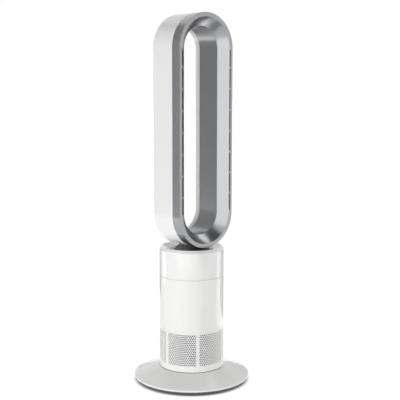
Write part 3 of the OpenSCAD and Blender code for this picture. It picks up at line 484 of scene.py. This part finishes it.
def bake(piece):
    """Replaces a piece's mesh by the one that its modifiers give."""
    graph = bpy.context.evaluated_depsgraph_get()
    result = bpy.data.meshes.new_from_object(piece.evaluated_get(graph))
    piece.modifiers.clear()
    old = piece.data
    piece.data = result
    name = old.name
    bpy.data.meshes.remove(old)
    result.name = name


def shade(piece, sharp_angle=SHARP_ANGLE):
    """Smooth shading that leaves flat faces flat up to their rounded edges."""
    mesh = piece.data
    if "custom_normal" in mesh.attributes:
        mesh.attributes.remove(mesh.attributes["custom_normal"])
    mesh.set_sharp_from_angle(angle=math.radians(sharp_angle))
    change = piece.modifiers.new("weigh", "WEIGHTED_NORMAL")
    change.mode = "FACE_AREA"
    change.weight = 50
    change.keep_sharp = True
    bake(piece)


def wire(bm, corners):
    """A closed section in the XZ plane from corners (x, z, rounding) in millimetres."""
    verts = [bm.verts.new((x * MM, 0, z * MM)) for x, z, _ in corners]
    for first, second in zip(verts, verts[1:] + verts[:1]):
        bm.edges.new((first, second))
    for vert, (_, _, rounding) in zip(verts, corners):
        if rounding:
            bmesh.ops.bevel(
                bm,
                geom=[vert],
                offset=rounding * MM,
                offset_type="OFFSET",
                segments=2 * ROUND_STEPS if rounding > LARGE_ROUND else ROUND_STEPS,
                profile=0.5,
                affect="VERTICES",
                material=-1,
            )


def close_up(bm):
    """Merges doubles and turns all faces outwards."""
    bmesh.ops.remove_doubles(bm, verts=bm.verts, dist=MERGE_M)
    bmesh.ops.recalc_face_normals(bm, faces=bm.faces)


def turned(corners, steps=None):
    """A solid of revolution about Z from a closed section."""
    bm = bmesh.new()
    wire(bm, corners)
    bmesh.ops.spin(
        bm,
        geom=bm.verts[:] + bm.edges[:],
        cent=(0, 0, 0),
        axis=(0, 0, 1),
        angle=math.tau,
        steps=steps or bpy.context.scene.fan_sizes.turn_steps,
        use_merge=True,
    )
    close_up(bm)
    return bm


def lay_back(bm, z):
    """Turns a piece made about Z so that its axis runs to the rear, at height z."""
    place = Matrix.Translation((0, 0, z * MM)) @ Matrix.Rotation(math.radians(-90), 4, "X")
    bmesh.ops.transform(bm, matrix=place, verts=bm.verts)


def swept(corners):
    """A closed section (distance from the loop's centre line, distance in front) round the loop."""
    bm = bmesh.new()
    wire(bm, corners)
    stand = Matrix.Translation((0, 0, LOOP_LOW_C * MM)) @ Matrix.Rotation(math.radians(90), 4, "X")
    bmesh.ops.transform(bm, matrix=stand, verts=bm.verts)
    run = (LOOP_HIGH_C - LOOP_LOW_C) * MM
    ring = bm.edges[:]
    for centre, rise in ((LOOP_HIGH_C, run), (LOOP_LOW_C, -run)):
        grown = bmesh.ops.extrude_edge_only(bm, edges=ring)["geom"]
        bmesh.ops.translate(bm, vec=(0, 0, rise), verts=verts_of(grown))
        end = bmesh.ops.spin(
            bm,
            geom=[g for g in grown if not isinstance(g, bmesh.types.BMFace)],
            cent=(0, 0, centre * MM),
            axis=(0, -1, 0),
            angle=math.pi,
            steps=bpy.context.scene.fan_sizes.turn_steps // 2,
            use_merge=False,
        )["geom_last"]
        ring = [g for g in end if isinstance(g, bmesh.types.BMEdge)]
    close_up(bm)
    return bm


def box(bm, low, high):
    """Adds a block between two corners, in millimetres."""
    low, high = Vector(low) * MM, Vector(high) * MM
    place = Matrix.Translation((low + high) / 2) @ Matrix.Diagonal((high - low).to_4d())
    bmesh.ops.create_cube(bm, size=1.0, matrix=place)


def rod(radius, length, steps, place):
    """A closed cylinder, with its sizes in millimetres."""
    bm = bmesh.new()
    bmesh.ops.create_cone(
        bm,
        cap_ends=True,
        segments=steps,
        radius1=radius * MM,
        radius2=radius * MM,
        depth=length * MM,
        matrix=place,
    )
    return bm


def cut(piece, cutter_bm):
    """Cuts a closed mesh out of a piece, for good."""
    mesh = bpy.data.meshes.new("cutter")
    cutter_bm.to_mesh(mesh)
    cutter_bm.free()
    cutter = bpy.data.objects.new("cutter", mesh)
    bpy.context.scene.collection.objects.link(cutter)
    change = piece.modifiers.new("cut", "BOOLEAN")
    change.operation = "DIFFERENCE"
    change.solver = "EXACT"
    change.object = cutter
    bake(piece)
    shade(piece)
    bpy.data.objects.remove(cutter)
    bpy.data.meshes.remove(mesh)


def rounded_copy(name, cad_node, body, slot):
    """A merged and smoothly shaded copy of a CAD node, which then stands for it."""
    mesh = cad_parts[cad_node].data.copy()
    bm = bmesh.new()
    bm.from_mesh(mesh)
    bmesh.ops.remove_doubles(bm, verts=bm.verts, dist=MERGE_M)
    bm.to_mesh(mesh)
    bm.free()
    mesh.name = name
    return dress(mesh, name, body, slot, [cad_node], COPY_SHARP_ANGLE)


# Operators, one for each piece or group of like pieces


class FAN_OT_base(bpy.types.Operator):
    """Makes the white cover of the base, its dark tray and the feet."""

    bl_idname = "fan.base"
    bl_label = "Base Plate"

    def execute(self, context):
        edge = context.scene.fan_sizes.edge_break / MM
        platform = COLUMN_R + PLATFORM_MARGIN
        land = COLUMN_R - FOOT_LAND_W
        cover = [
            (PLATE_BORE_R, PLATE_TOP - PLATE_WALL, 0),
            (PLATE_BORE_R, PLATE_TOP, 0),
            (platform, PLATE_TOP, 1.0),
            (PLATE_R, EDGE_Z + BAND_H + PLATE_ROUND, PLATE_ROUND),
            (PLATE_R, EDGE_Z, edge),
            (PLATE_R - PLATE_WALL, EDGE_Z, 0),
            (PLATE_R - PLATE_WALL, EDGE_Z + BAND_FOOT, 0),
            (platform, PLATE_TOP - PLATE_WALL, 0),
        ]
        add_piece("cover_skin", turned(cover), "base", "white_abs", ["base_cover"])
        rounded_copy("tray_skin", "base_tray", "base", "dark_abs")
        rounded_copy("foot_pads", "rubber_feet", "base", "black_rubber")
        # A ring with the rubber finish at the joint of the plate and the column; it draws the dark
        # line round the column's foot
        gasket = [
            (land, PLATE_TOP, 0),
            (COLUMN_R, PLATE_TOP, 0.2),
            (COLUMN_R, COLUMN_Z, 0.2),
            (land, COLUMN_Z, 0),
        ]
        add_piece("joint_ring", turned(gasket), "base", "black_rubber", ["column_gasket"])
        return {"FINISHED"}


class FAN_OT_column(bpy.types.Operator):
    """Makes the lower and upper housings of the column."""

    bl_idname = "fan.column"
    bl_label = "Column"

    def execute(self, context):
        sizes = context.scene.fan_sizes
        edge, seam = sizes.edge_break / MM, sizes.seam_break / MM
        inner = COLUMN_R - HOUSING_WALL
        self.lower_housing(inner, edge, seam)
        self.upper_housing(inner, edge, seam)
        return {"FINISHED"}

    def lower_housing(self, inner, edge, seam):
        """The foot, the wall with the windows, and the ledge inside it."""
        land = COLUMN_R - FOOT_LAND_W
        ledge = WINDOW_TOP + LEDGE_RISE
        lower = [
            (land, COLUMN_Z, 0),
            (FOOT_R, COLUMN_Z, edge),
            (COLUMN_R, COLUMN_Z + FLARE_H, FLARE_ROUND),
            (COLUMN_R, SEAM_LOW, seam),
            (inner, SEAM_LOW, 0),
            (inner, ledge, 0),
            (inner - LEDGE_W, ledge, 0),
            (inner - LEDGE_W, ledge - LEDGE_T, 0),
            (inner, ledge - LEDGE_H, 0),
            (inner, COLUMN_Z + FOOT_FLOOR_T, 0),
            (land, COLUMN_Z + FOOT_FLOOR_T, 0),
        ]
        piece = add_piece("lower_skin", turned(lower), "base", "white_abs", ["lower_housing"])
        cut(piece, self.window_cutters())

    def window_cutters(self):
        """Blocks from inside the column to outside it, one for each window."""
        cutters = bmesh.new()
        near, far = COLUMN_R - CUTTER_REACH, COLUMN_R + CUTTER_REACH / 2
        half = math.radians(WINDOW_ANGLE / 2)
        points = [(near, -half), (far, -half), (far, half), (near, half)]
        for i in range(WINDOWS):
            middle = math.radians(-90 + i * 360 / WINDOWS)
            face = cutters.faces.new(
                cutters.verts.new(
                    (r * MM * math.cos(middle + a), r * MM * math.sin(middle + a), WINDOW_LOW * MM)
                )
                for r, a in points
            )
            raised = bmesh.ops.extrude_face_region(cutters, geom=[face], use_keep_orig=True)["geom"]
            rise = (WINDOW_TOP - WINDOW_LOW) * MM
            bmesh.ops.translate(cutters, vec=(0, 0, rise), verts=verts_of(raised))
        bmesh.ops.recalc_face_normals(cutters, faces=cutters.faces)
        return cutters

    def upper_housing(self, inner, edge, seam):
        """The wall above the seam with its spigot, lip and dish, and the deck under the cone."""
        low = SEAM_LOW + SEAM_GAP
        cone_z = LIP_Z - DISH_DROP
        step = CONE_R + PLAY
        upper = [
            (inner - FIT, low, 0),
            (COLUMN_R, low, seam),
            (COLUMN_R, LIP_Z - SHOULDER_H, 0.8),
            (COLUMN_R - SHOULDER_W, LIP_Z, 0.6),
            (step, cone_z, edge),
            (step, cone_z - DECK_T, 0),
            (DECK_HOLE_R, cone_z - DECK_T, edge),
            (DECK_HOLE_R, cone_z - 2 * DECK_T, 0),
            (step, cone_z - 2 * DECK_T, 0),
            (inner - SHOULDER_H, cone_z, 0),
            (inner, cone_z - SHOULDER_H, 0),
            (inner, low + 2 * SPIGOT_ROOT, 0),
            (inner - SPIGOT_W, low + SPIGOT_ROOT, 0),
            (inner - SPIGOT_W, low - SPIGOT_L, 0),
            (inner - FIT, low - SPIGOT_L, 0),
        ]
        piece = add_piece("upper_skin", turned(upper), "base", "white_abs", ["upper_housing"])
        rear = Matrix.Translation((0, COLUMN_R * MM, BUTTON_Z * MM))
        place = rear @ Matrix.Rotation(math.radians(90), 4, "X")
        cut(piece, rod(BUTTON_R + PLAY, BUTTON_CUT, SMALL_STEPS, place))


class FAN_OT_mesh(bpy.types.Operator):
    """Makes the finely perforated intake mesh in the column's windows."""

    bl_idname = "fan.mesh"
    bl_label = "Intake Mesh"

    def execute(self, context):
        sizes = context.scene.fan_sizes
        margin = MESH_MARGIN * MM
        radius = COLUMN_R * MM
        wide = radius * math.radians(WINDOW_ANGLE) - 2 * FIT * MM - 2 * margin
        high = (WINDOW_TOP - WINDOW_LOW - 2 * FIT) * MM - 2 * margin
        bm = self.sheet(wide, high, sizes.mesh_pitch, sizes.mesh_hole)
        self.widen(bm, wide, high, margin)
        bmesh.ops.recalc_face_normals(bm, faces=bm.faces)
        back = bmesh.ops.extrude_face_region(bm, geom=bm.faces[:], use_keep_orig=True)["geom"]
        bmesh.ops.translate(bm, vec=(0, 0, -sizes.mesh_wall), verts=verts_of(back))
        foot = WINDOW_LOW * MM + FIT * MM + margin
        for vert in bm.verts:
            angle = (vert.co.x - wide / 2) / radius - math.pi / 2
            out = radius + vert.co.z
            vert.co = (out * math.cos(angle), out * math.sin(angle), foot + vert.co.y)
        window = bm.verts[:] + bm.edges[:] + bm.faces[:]
        for i in range(1, WINDOWS):
            copied = bmesh.ops.duplicate(bm, geom=window)["geom"]
            turn = Matrix.Rotation(i * math.tau / WINDOWS, 3, "Z")
            bmesh.ops.rotate(bm, cent=(0, 0, 0), matrix=turn, verts=verts_of(copied))
        bmesh.ops.recalc_face_normals(bm, faces=bm.faces)
        add_piece("intake_mesh", bm, "base", "white_abs", ["intake_screens"])
        rounded_copy("filter_sleeve", "dust_filter", "base", "filter_mesh")
        return {"FINISHED"}

    def sheet(self, wide, high, wanted_pitch, hole):
        """A flat sheet of staggered holes; every second row has half a cell at each end."""
        across = round(wide / wanted_pitch)
        pitch = wide / across
        rows = round(high / (pitch * math.sqrt(0.75)))
        row = high / rows
        bm = bmesh.new()
        bmesh.ops.create_circle(bm, segments=12, radius=hole / 2)
        rim = bmesh.ops.extrude_edge_only(bm, edges=bm.edges[:])["geom"]
        # The outer corners go to a cell of pitch by row; 1.4 rounds a sine of a half up to one
        for vert in verts_of(rim):
            angle = math.atan2(vert.co.y, vert.co.x)
            vert.co.x = pitch / 4 * round(2 * math.cos(angle))
            vert.co.y = row / 2 * round(1.4 * math.sin(angle))
        cell = bm.faces[:]
        right_half = [face for face in cell if face.calc_center_median().x > 0]
        left_half = [face for face in cell if face.calc_center_median().x < 0]
        for j in range(rows):
            if j % 2:
                places = [(right_half, 0)]
                places += [(left_half if i == across else cell, i) for i in range(1, across + 1)]
            else:
                places = [(cell, i + 0.5) for i in range(across)]
            for faces, along in places:
                copied = bmesh.ops.duplicate(bm, geom=faces)["geom"]
                move = (pitch * along, row * (j + 0.5), 0)
                bmesh.ops.translate(bm, vec=move, verts=verts_of(copied))
        bmesh.ops.delete(bm, geom=cell, context="FACES")
        bmesh.ops.remove_doubles(bm, verts=bm.verts, dist=MESH_MERGE_M)
        return bm

    def widen(self, bm, wide, high, margin):
        """Adds a plain margin on all four sides of the sheet."""

        def side(value, size):
            """Minus one at the low end of the sheet, one at its high end, and nought between."""
            return -1 if value < MESH_MERGE_M else 1 if value > size - MESH_MERGE_M else 0

        def on_one_side(edge):
            """True for an edge whose two ends lie on the same side of the sheet."""
            first, second = ((side(v.co.x, wide), side(v.co.y, high)) for v in edge.verts)
            return any(a and a == b for a, b in zip(first, second))

        border = [edge for edge in bm.edges if edge.is_boundary and on_one_side(edge)]
        grown = bmesh.ops.extrude_edge_only(bm, edges=border)["geom"]
        for vert in verts_of(grown):
            vert.co.x += margin * side(vert.co.x, wide)
            vert.co.y += margin * side(vert.co.y, high)


class FAN_OT_fittings(bpy.types.Operator):
    """Makes the cord gland and the power button on the rear."""

    bl_idname = "fan.fittings"
    bl_label = "Rear Fittings"

    def execute(self, context):
        low, high = low_mm("cord_gland"), top_mm("cord_gland")
        gland = [
            (GLAND_BORE_R, low.y, 0.2),
            (GLAND_R, low.y, 0.2),
            (GLAND_R, high.y - FLANGE_T, 0),
            (GLAND_FLANGE_R, high.y - FLANGE_T, 0.2),
            (GLAND_FLANGE_R, high.y, 0.6),
            (GLAND_BORE_R, high.y, 0.4),
        ]
        bm = turned(gland, SMALL_STEPS)
        lay_back(bm, (low.z + high.z) / 2)
        add_piece("gland_sleeve", bm, "base", "black_rubber", ["cord_gland"])

        face = top_mm("power_button").y
        back = low_mm("power_button").y
        flange_r = BUTTON_R + BUTTON_FLANGE_W
        flange = math.sqrt((COLUMN_R - HOUSING_WALL) ** 2 - flange_r**2) - BUTTON_ROOM
        button = [
            (0, back, 0),
            (BUTTON_STEM_R, back, 0.2),
            (BUTTON_STEM_R, flange - FLANGE_T, 0),
            (flange_r, flange - FLANGE_T, 0.2),
            (flange_r, flange, 0.2),
            (BUTTON_R, flange, 0),
            (BUTTON_R, face, 0.6),
            (BUTTON_R - BUTTON_RING_W, face, 0.4),
            (BUTTON_R - 2 * BUTTON_RING_W, face - BUTTON_RING_H, 0.6),
            (0, face - BUTTON_DISH, 0),
        ]
        bm = turned(button, MIDDLE_STEPS)
        lay_back(bm, BUTTON_Z)
        add_piece("button_cap", bm, "button", "dark_abs", ["power_button"])
        return {"FINISHED"}


class FAN_OT_neck(bpy.types.Operator):
    """Makes the turning cone in the dish and the neck."""

    bl_idname = "fan.neck"
    bl_label = "Cone and Neck"

    def execute(self, context):
        edge = context.scene.fan_sizes.edge_break / MM
        rim_z = LIP_Z - DISH_DROP
        cone = [
            (HUB_BORE_R, HUB_LOW, 0),
            (HUB_R, HUB_LOW, 0),
            (HUB_R, rim_z - CONE_RIM_T, 0),
            (CONE_R, rim_z - CONE_RIM_T, 0),
            (CONE_R, rim_z, edge),
            (CONE_TOP_R, CONE_TOP, 0.8),
            (HUB_BORE_R, CONE_TOP, 0.2),
        ]
        add_piece("cone_skin", turned(cone), "head", "dark_abs", ["turntable"])
        rounded_copy("neck_skin", "neck_duct", "head", "dark_abs")
        return {"FINISHED"}


class FAN_OT_loop(bpy.types.Operator):
    """Makes the white shell, the silver front and the liner of the loop."""

    bl_idname = "fan.loop"
    bl_label = "Loop"

    def execute(self, context):
        edge = context.scene.fan_sizes.edge_break / MM
        inner = LOOP_R - LOOP_WALL
        self.shell(inner, edge)
        self.front(inner, edge)
        self.liner(edge)
        return {"FINISHED"}

    def shell(self, inner, edge):
        """The rear of the loop, with a return into the opening."""
        back_in = LOOP_WALL - LOOP_BACK
        shell = [
            (inner, BAND_BACK, 0),
            (LOOP_R, BAND_BACK, edge),
            (LOOP_R, -LOOP_BACK, SHELL_ROUND),
            (OPEN_R, -LOOP_BACK, RETURN_ROUND),
            (OPEN_R, -LINER_BACK, edge),
            (OPEN_R + LOOP_WALL, -LINER_BACK, 0),
            (OPEN_R + LOOP_WALL, back_in, RETURN_ROUND - LOOP_WALL),
            (inner, back_in, SHELL_ROUND - LOOP_WALL),
        ]
        piece = add_piece("shell_skin", swept(shell), "head", "white_abs", ["rear_shell"])
        cut(piece, self.neck_hole())

    def front(self, inner, edge):
        """The band, the rim with its air slots, and the nose, which bows inwards."""
        start, end = Vector((SLOT_IN, LOOP_FRONT)), Vector((OPEN_R, NOSE_BACK))
        span = end - start
        hollow = Vector((-span.y, span.x)).normalized() * NOSE_BOW
        steps = [i / NOSE_STEPS for i in range(1, NOSE_STEPS)]
        nose = [start + span * t + hollow * 4 * t * (1 - t) for t in steps]
        slope = (LOOP_FRONT - NOSE_BACK) / (SLOT_IN - OPEN_R)
        back_r = OPEN_R + LOOP_WALL * math.sqrt(1 + 1 / slope**2)
        wall_in, wall_out = SLOT_IN - SLOT_WALL, SLOT_OUT + SLOT_WALL
        foot = LOOP_FRONT - SLOT_DEPTH
        rim_in = LOOP_FRONT - LOOP_WALL
        front = [
            (LOOP_R, BAND_BACK, edge),
            (LOOP_R, LOOP_FRONT, edge),
            (SLOT_IN, LOOP_FRONT, 0.3),
            *((point.x, point.y, 0) for point in nose),
            (OPEN_R, NOSE_BACK, edge),
            (back_r, NOSE_BACK, 0),
            (wall_in, NOSE_BACK + (wall_in - back_r) * slope, 0),
            (wall_in, foot, 0),
            (SLOT_IN, foot, 0.4),
            (SLOT_IN, rim_in, 0),
            (SLOT_OUT, rim_in, 0),
            (SLOT_OUT, foot, 0.4),
            (wall_out, foot, 0),
            (wall_out, rim_in, 0),
            (inner, rim_in, 0),
            (inner, BAND_BACK + 2 * LIP_ROOT, 0),
            (inner - LIP_W, BAND_BACK + LIP_ROOT, 0),
            (inner - LIP_W, BAND_BACK - LIP_L, 0),
            (inner - FIT, BAND_BACK - LIP_L, 0),
            (inner - FIT, BAND_BACK, 0),
        ]
        piece = add_piece("front_skin", swept(front), "head", "silver_abs", ["front_frame"])
        cut(piece, self.neck_hole())
        cut(piece, self.slots(rim_in))

    def slots(self, rim_in):
        """Blocks through the rim between the ribs, on both sides of the loop."""
        bm = bmesh.new()
        middle = (LOOP_LOW_C + LOOP_HIGH_C) / 2
        ribs = [middle + (i - (RIBS - 1) / 2) * RIB_PITCH for i in range(RIBS)]
        starts = [LOOP_LOW_C + SLOT_END] + [z + RIB_W / 2 for z in ribs]
        ends = [z - RIB_W / 2 for z in ribs] + [LOOP_HIGH_C - SLOT_END]
        y_low, y_high = -LOOP_FRONT - CUT_MARGIN, -rim_in + CUT_MARGIN
        for side in (-1, 1):
            x_low, x_high = sorted((side * SLOT_IN, side * SLOT_OUT))
            for z_low, z_high in zip(starts, ends):
                box(bm, (x_low, y_low, z_low), (x_high, y_high, z_high))
        return bm

    def liner(self, edge):
        """The wall of the opening, with a tongue behind the shell's return."""
        front, back = NOSE_BACK - PLAY, PLAY - LINER_BACK
        wall = OPEN_R + LINER_WALL
        tongue = OPEN_R + LOOP_WALL + FIT
        liner = [
            (OPEN_R, front, edge),
            (OPEN_R, back, edge),
            (tongue, back, 0),
            (tongue, back - TONGUE_L, 0),
            (tongue + TONGUE_W, back - TONGUE_L, 0),
            (tongue + TONGUE_W, back + LINER_WALL, 0),
            (wall, back + LINER_WALL, 0),
            (wall, front, 0),
        ]
        add_piece("liner_skin", swept(liner), "head", "liner_silver", ["inner_liner"])

    def neck_hole(self):
        """A cylinder where the neck enters the loop."""
        low, high = LOOP_LOW_C - LOOP_R - 2 * CUT_MARGIN, LOOP_LOW_C - LOOP_R / 2
        place = Matrix.Translation((0, 0, (low + high) / 2 * MM))
        return rod(NECK_HOLE_R, high - low, MIDDLE_STEPS, place)


class FAN_OT_inside(bpy.types.Operator):
    """Gives the solids inside the fan their finishes."""

    bl_idname = "fan.inside"
    bl_label = "Inner Parts"

    nodes = {
        "zinc_steel": (
            "ballast_plate tray_screws column_bolts shroud_screws impeller_nut motor_shaft motor_can "
            "motor_bearings housing_screws retaining_clip swivel_motor swivel_screws output_shaft"
        ),
        "dark_abs": "inlet_ring blower_shroud diffuser nacelle_cap outlet_duct board_parts",
        "natural_pom": "impeller slide_ring ring_gear thrust_washer drive_pinion",
        "black_rubber": "motor_mounts duct_seal neck_gasket",
        "magnet": "rotor_magnet motor_stator",
        "copper_wire": "motor_coils",
        "circuit_board": "control_board",
    }

    def execute(self, context):
        for slot, names in self.nodes.items():
            for name in names.split():
                for material_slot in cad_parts[name].material_slots:
                    material_slot.material = finish_of(slot)
        return {"FINISHED"}


class FAN_OT_studio(bpy.types.Operator):
    """Sets up the camera, the floor, the lamps and the pale background."""

    bl_idname = "fan.studio"
    bl_label = "Studio"

    def execute(self, context):
        scene = context.scene
        scene.view_settings.view_transform = "Standard"
        self.camera(scene)
        self.floor(scene)
        self.world(scene)
        self.lamps(scene)
        self.cards(scene)
        return {"FINISHED"}

    def around(self, angle, distance, height):
        """A place at an angle to the right of the camera's line, seen from the column."""
        turn = math.radians(CAMERA_TURN + angle)
        return Vector((distance * math.cos(turn), distance * math.sin(turn), height))

    def camera(self, scene):
        """The camera, where the photographer stood."""
        data = bpy.data.cameras.new("camera")
        data.sensor_width = 36
        data.lens = CAMERA_LENS
        data.shift_x = CAMERA_SHIFT
        camera = bpy.data.objects.new("camera", data)
        camera.location = self.around(0, CAMERA_AWAY, CAMERA_HEIGHT)
        camera.rotation_euler = (math.radians(90 - CAMERA_DOWN), 0, math.radians(CAMERA_TURN + 90))
        scene.collection.objects.link(camera)
        scene.camera = camera

    def board(self, scene, name, size, place, material):
        """A flat board of the studio, made at a place."""
        bm = bmesh.new()
        bmesh.ops.create_grid(bm, x_segments=1, y_segments=1, size=size, matrix=place)
        mesh = bpy.data.meshes.new(name)
        bm.to_mesh(mesh)
        bm.free()
        mesh.materials.append(material)
        made = bpy.data.objects.new(name, mesh)
        scene.collection.objects.link(made)
        return made

    def seen_directly(self, tree):
        """One where the camera looks, directly or through gloss or glass, and otherwise nought."""
        rays = node(tree, "ShaderNodeLightPath").outputs
        seen = rays["Is Camera Ray"]
        for other in ("Is Glossy Ray", "Is Transmission Ray"):
            either = {0: seen, 1: rays[other]}
            seen = node(tree, "ShaderNodeMath", {}, either, operation="MAXIMUM").outputs[0]
        return seen

    def floor(self, scene):
        """A pale matt floor that keeps the shadow and fades into the background."""
        pale = bpy.data.materials.new("pale_matt_floor")
        pale.use_nodes = True
        tree = pale.node_tree
        tree.nodes.clear()
        matt = node(tree, "ShaderNodeBsdfDiffuse", {"Color": linear("#FAFAFA"), "Roughness": 0.5})
        glow = node(tree, "ShaderNodeEmission", {"Color": linear("#FFFFFF"), "Strength": 1.1})
        place = node(tree, "ShaderNodeTexCoord").outputs["Object"]
        away = node(tree, "ShaderNodeVectorMath", {}, {0: place}, operation="LENGTH")
        fade = node(tree, "ShaderNodeValToRGB", {}, {0: away.outputs["Value"]})
        ramp = fade.color_ramp
        ramp.elements[0].position = (PLATE_R - FADE_INSIDE) * MM
        ramp.elements[1].position = 1.0
        ramp.elements.new((PLATE_R + FADE_OUTSIDE) * MM).color = linear("#F0F0F0")
        both = {0: self.seen_directly(tree), 1: fade.outputs["Color"]}
        share = node(tree, "ShaderNodeMath", {}, both, operation="MULTIPLY").outputs[0]
        parts = {0: share, 1: matt.outputs[0], 2: glow.outputs[0]}
        mixed = node(tree, "ShaderNodeMixShader", {}, parts)
        node(tree, "ShaderNodeOutputMaterial", {}, {"Surface": mixed.outputs[0]})
        floor = self.board(scene, "floor", FLOOR_HALF, Matrix.Identity(4), pale)

    def world(self, scene):
        """White where the camera or a reflection looks, softer as a light."""
        world = bpy.data.worlds.new("studio")
        scene.world = world
        world.use_nodes = True
        tree = world.node_tree
        tree.nodes.clear()
        seen = {"Value": self.seen_directly(tree)}
        strength = node(tree, "ShaderNodeMapRange", {"To Min": 0.12, "To Max": 1.0}, seen)
        light = node(
            tree,
            "ShaderNodeBackground",
            {"Color": linear("#FFFFFF")},
            {"Strength": strength.outputs["Result"]},
        )
        node(tree, "ShaderNodeOutputWorld", {}, {"Surface": light.outputs[0]})

    def lamps(self, scene):
        """Soft boxes round the fan; some give only light, and some only a reflection."""
        for name, angle, distance, height, aim, wide, tall, radiance, lit, mirrored in (
            ("key", -20, 1.35, 0.75, 0.75, 2.7, 1.5, 0.8, False, True),
            ("key_fill", -20, 1.4, 0.08, 0.08, 2.7, 0.16, 11.6, True, False),
            ("side", 104, 1.35, 1.05, 1.05, 0.8, 2.1, 0.2, True, True),
            ("side_fill", 92, 1.4, 0.5, 0.4, 1.4, 0.9, 1.65, True, False),
            ("left_fill", -78, 1.4, 0.9, 0.75, 1.4, 1.2, 0.8, True, False),
            ("top_fill", -62, 0.6, 1.5, 0.88, 0.5, 0.5, 2.6, True, False),
            ("rear_fill", 160, 1.4, 1.3, 0.1, 2.0, 1.4, 2.3, True, False),
            ("low_right", 124, 0.66, 0.14, 0.85, 0.7, 0.4, 1.0, False, True),
            ("high_right", 117, 1.0, 1.45, 0.36, 0.7, 0.7, 1.0, False, True),
            ("low_left", -112, 1.25, 0.03, 5.0, 0.42, 0.75, 1.35, False, True),
        ):
            place = self.around(angle, distance, height)
            lamp = self.lamp(scene, name, place, (0, 0, aim), wide, tall, radiance)
            lamp.visible_diffuse = lit
            lamp.visible_glossy = mirrored

    def lamp(self, scene, name, place, target, wide, tall, radiance):
        """An area lamp of a given radiance that looks at a point."""
        data = bpy.data.lights.new(name, "AREA")
        data.shape = "RECTANGLE"
        data.size = wide
        data.size_y = tall
        data.energy = radiance * math.pi * wide * tall
        lamp = bpy.data.objects.new(name, data)
        lamp.location = place
        lamp.rotation_euler = (Vector(target) - place).to_track_quat("-Z", "Y").to_euler()
        lamp.visible_camera = False
        scene.collection.objects.link(lamp)
        return lamp

    def cards(self, scene):
        """Grey cards that only reflections see: upright ones face the column, level ones lie flat."""
        for name, angle, distance, height, wide, tall, level, grey in (
            ("card_left", -109, 1.2, 1.1, 2.1, 1.8, False, "#E2E2E2"),
            ("card_right", 45, 1.5, 1.1, 1.0, 2.2, False, "#C8C8C8"),
            ("card_rear", 152, 1.3, 1.25, 1.15, 0.9, False, "#808080"),
            ("card_right_edge", 140, 0.55, 0.2, 0.46, 0.38, False, "#C8C8C8"),
            ("card_left_edge", -150, 1.2, 0.06, 0.7, 0.12, False, "#D8D8D8"),
            ("card_floor", -158, 1.25, 0.01, 0.9, 0.6, True, "#B4B4B4"),
            ("card_high", 55, 0.75, 2.2, 1.5, 1.5, True, "#808080"),
            ("card_near", 48, 0.5, 0.015, 0.4, 0.6, True, "#D4D4D4"),
        ):
            paper = bpy.data.materials.new(name + "_board")
            paper.use_nodes = True
            shader = paper.node_tree.nodes["Principled BSDF"]
            shader.inputs["Base Color"].default_value = linear(grey)
            shader.inputs["Roughness"].default_value = 0.9
            centre = self.around(angle, distance, height)
            target = Vector((centre.x, centre.y, 0)) if level else Vector((0, 0, height))
            turn = (target - centre).to_track_quat("Z", "Y").to_matrix().to_4x4()
            place = Matrix.Translation(centre) @ turn @ Matrix.Diagonal((wide, tall, 1, 1))
            card = self.board(scene, name, 0.5, place, paper)
            card.visible_camera = False
            card.visible_diffuse = False
            card.visible_shadow = False


class FAN_PT_panel(bpy.types.Panel):
    """Lists the fan's pieces and its settings."""

    bl_idname = "FAN_PT_panel"
    bl_label = "Bladeless Tower Fan"
    bl_space_type = "VIEW_3D"
    bl_region_type = "UI"
    bl_category = "Fan"

    def draw(self, context):
        for group in (context.scene.fan_sizes, context.scene.fan_colours):
            for name in group.bl_rna.properties.keys():
                if name not in ("rna_type", "name"):
                    self.layout.prop(group, name)
        for operator in OPERATORS:
            self.layout.operator(operator.bl_idname)


OPERATORS = (
    FAN_OT_studio,
    FAN_OT_base,
    FAN_OT_column,
    FAN_OT_mesh,
    FAN_OT_fittings,
    FAN_OT_neck,
    FAN_OT_loop,
    FAN_OT_inside,
)
CLASSES = (FanSizes, FanColours) + OPERATORS + (FAN_PT_panel,)


def register():
    for cls in CLASSES:
        bpy.utils.register_class(cls)
    bpy.types.Scene.fan_sizes = bpy.props.PointerProperty(type=FanSizes)
    bpy.types.Scene.fan_colours = bpy.props.PointerProperty(type=FanColours)


def unregister():
    del bpy.types.Scene.fan_colours
    del bpy.types.Scene.fan_sizes
    for cls in reversed(CLASSES):
        bpy.utils.unregister_class(cls)


def main():
    register()
    bpy.ops.fan.studio()
    bpy.ops.fan.base()
    bpy.ops.fan.column()
    bpy.ops.fan.mesh()
    bpy.ops.fan.fittings()
    bpy.ops.fan.neck()
    bpy.ops.fan.loop()
    bpy.ops.fan.inside()


if __name__ == "__main__":
    main()
